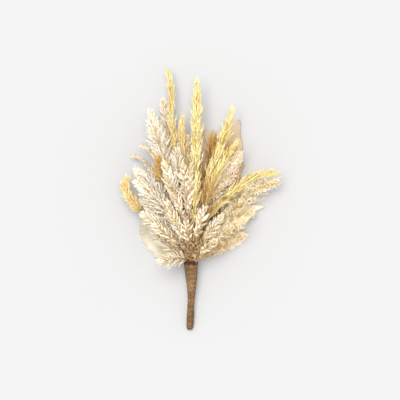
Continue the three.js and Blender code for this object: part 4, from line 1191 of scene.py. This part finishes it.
def tapeRing(mesh, marks, asked, radiusAt):
    verts = []
    within = handle["raggedWithin"]
    for k in range(handle["sides"]):
        angle = 2 * math.pi * k / handle["sides"]
        y = asked - raggedAt(angle) * smooth((asked - neck["mouth"].y + within) / within)
        x, z, radius = handleAt(y)
        r = radiusAt(radius, angle, y)
        out, up = math.cos(angle) * r, math.sin(angle) * r
        verts.append(mesh.verts.new((x + out, y - up * neck["tilt"], max(z + up, 0))))
        marks[verts[-1]] = y
    return verts


def makeWrap():
    mouth = neck["mouth"].y
    low = handle["profile"][0][1]
    sides, rows, inner = handle["sides"], handle["rows"], handle["mouthRings"]
    mesh = bmesh.new()
    grid = mesh.loops.layers.uv.new("tape")
    marks = {}
    rings = [tapeRing(mesh, marks, mix(low, mouth, i / rows), tapeRadius) for i in range(rows + 1)]
    rings += [tapeRing(mesh, marks, mouth - handle["mouthDepth"] * k / inner, innerRadius)
              for k in range(inner + 1)]
    for one, other in zip(rings, rings[1:]):
        for k in range(sides):
            n = (k + 1) % sides
            face = mesh.faces.new((one[k], other[k], other[n], one[n]))
            for loop, corner in zip(face.loops, (k, k, k + 1, k + 1)):
                y = marks[loop.vert]
                loop[grid].uv = (turnAt(2 * math.pi * corner / sides, y), y)
    mesh.faces.new(rings[0])
    mesh.faces.new(list(reversed(rings[-1])))
    bmesh.ops.recalc_face_normals(mesh, faces=mesh.faces)
    for face in mesh.faces:
        face.smooth = True
    finished(meshObject("handle_wrap_look", mesh, materials["wrap_tape"]), "handle_wrap")


wrapLook = {
    "roughness": 0.8,
    "specular": 0.25,
    "paper": {"scale": 55.0, "detail": 4.0,
              "shades": [(0.3, "#856b4f"), (0.55, "#a48867"), (0.75, "#c0a47f")]},
    "fibres": {"scale": 900.0, "detail": 4.0, "stretch": (0.5, 1.6, 0.5), "amount": 0.9,
               "shades": [(0.3, "#a8957c"), (0.5, "#e2d6c4"), (0.7, "#ffffff")]},
    "specks": {"scale": 1500.0, "detail": 1.0, "amount": 0.85,
               "shades": [(0.28, "#5a4028"), (0.36, "#ffffff")]},
    "mottle": {"scale": 480.0, "detail": 3.0, "amount": 0.5,
               "shades": [(0.36, "#6e563c"), (0.52, "#ffffff")]},
    # painted shade near the mouth: where it starts, how fast it deepens, and its shades
    "mouthFrom": 0.122,
    "mouthShare": 70.0,
    "mouth": [(0.3, "#ffffff"), (0.75, "#c8a886"), (0.95, "#8a6844")],
    "edges": [(0.0, "#ffffff"), (0.14, "#f0e6d8"), (0.80, "#cdbda8"), (0.93, "#6a5238"), (1.0, "#8a6f52")],
    "edgeAmount": 0.5,
    "wander": 0.16,
    "wanderScale": 140.0,
    "bumpScale": 700.0,
    "bump": 0.9,
}
stemLook = {
    "roughness": 0.8,
    "specular": 0.5,
    "stripes": {"scale": 260.0, "detail": 3.0, "stretch": (3, 0.3, 3),
                "shades": [(0.3, "#7d5c38"), (0.5, "#a58252"), (0.7, "#c6a670")]},
}


def wrapMaterial():
    look = wrapLook
    material, tree, shader = shaderTree("wrap_tape", look["roughness"], look["specular"])
    body = noiseShades(tree, look["paper"])
    for layer in (look["fibres"], look["specks"], look["mottle"]):
        body = blend(tree, "MULTIPLY", layer["amount"], body, noiseShades(tree, layer))
    # painted shade: the tape darkens over its last turns towards the mouth, and inside the mouth
    y = partsOf(tree, objectPlace(tree))["Y"]
    rise = times(tree, plus(tree, y, look["mouthFrom"]), look["mouthShare"])
    body = blend(tree, "MULTIPLY", 1.0, body, ramp(tree, rise, look["mouth"]))
    # the edge of each turn is dark below, painted shade where it tucks under the turn over it, and paler
    # above
    wander = times(tree, noiseAt(tree, look["wanderScale"]), look["wander"])
    share = maths(tree, "FRACT", plus(tree, uvParts(tree, "tape")["X"], wander))
    body = blend(tree, "MULTIPLY", look["edgeAmount"], body, ramp(tree, share, look["edges"]))
    tree.links.new(body, shader.inputs["Base Color"])
    grain = noiseAt(tree, look["bumpScale"], 5.0, look["fibres"]["stretch"])
    roughen(tree, shader, grain, look["bump"])
    return material


def stemMaterial():
    material, tree, shader = shaderTree("bound_stems", stemLook["roughness"], stemLook["specular"])
    tree.links.new(noiseShades(tree, stemLook["stripes"]), shader.inputs["Base Color"])
    return material


materials["wrap_tape"] = wrapMaterial()
materials["bound_stems"] = stemMaterial()
makeWrap()
for holder in frame["nodes"]["stem_core"].material_slots:
    holder.material = materials["bound_stems"]
print("handle made")

# Floor, light and camera.
studio = {
    "floorShade": "#bdbdbd",
    "floorRoughness": 0.9,
    "floorSpecular": 0.1,
    "floorSize": 12,
    "height": 5.0,
    "sharpAt": 0.03,
    "shownWidth": 0.70,
    "sensor": 36,
    "centre": (-0.0013, -0.00175),
    "skyStrength": 0.88,
    "keyStrength": 2.95,
    "keyFrom": (-0.13, 0.22, 1.0),
    "keySoftness": 0.75,
}


def makeFloor():
    bpy.ops.mesh.primitive_plane_add(size=studio["floorSize"])
    floor = bpy.context.object
    floor.name = "floor"
    material, tree, shader = shaderTree("floor", studio["floorRoughness"], studio["floorSpecular"])
    shader.inputs["Base Color"].default_value = colour(studio["floorShade"])
    floor.data.materials.append(material)


def makeLight():
    world = bpy.data.worlds.new("studio")
    scene.world = world
    world.use_nodes = True
    sky = world.node_tree.nodes["Background"]
    sky.inputs["Color"].default_value = (1, 1, 1, 1)
    sky.inputs["Strength"].default_value = studio["skyStrength"]
    lamp = bpy.data.lights.new("key", "SUN")
    lamp.energy = studio["keyStrength"]
    lamp.angle = studio["keySoftness"]
    key = linked("key", lamp)
    key.rotation_euler = Vector(studio["keyFrom"]).to_track_quat("Z", "Y").to_euler()


def makeCamera():
    lens = bpy.data.cameras.new("camera")
    lens.sensor_width = studio["sensor"]
    lens.lens = studio["sensor"] * (studio["height"] - studio["sharpAt"]) / studio["shownWidth"]
    lens.clip_end = 50
    camera = linked("camera", lens)
    camera.location = (*studio["centre"], studio["height"])
    scene.camera = camera
    scene.view_settings.view_transform = "Standard"


makeFloor()
makeLight()
makeCamera()
print("studio made")

pieces = [made for made in scene.objects if made.name.endswith("_look")]
added = sum(len(face.vertices) - 2 for made in pieces for face in made.data.polygons)
print("pieces added:", added, "triangles")
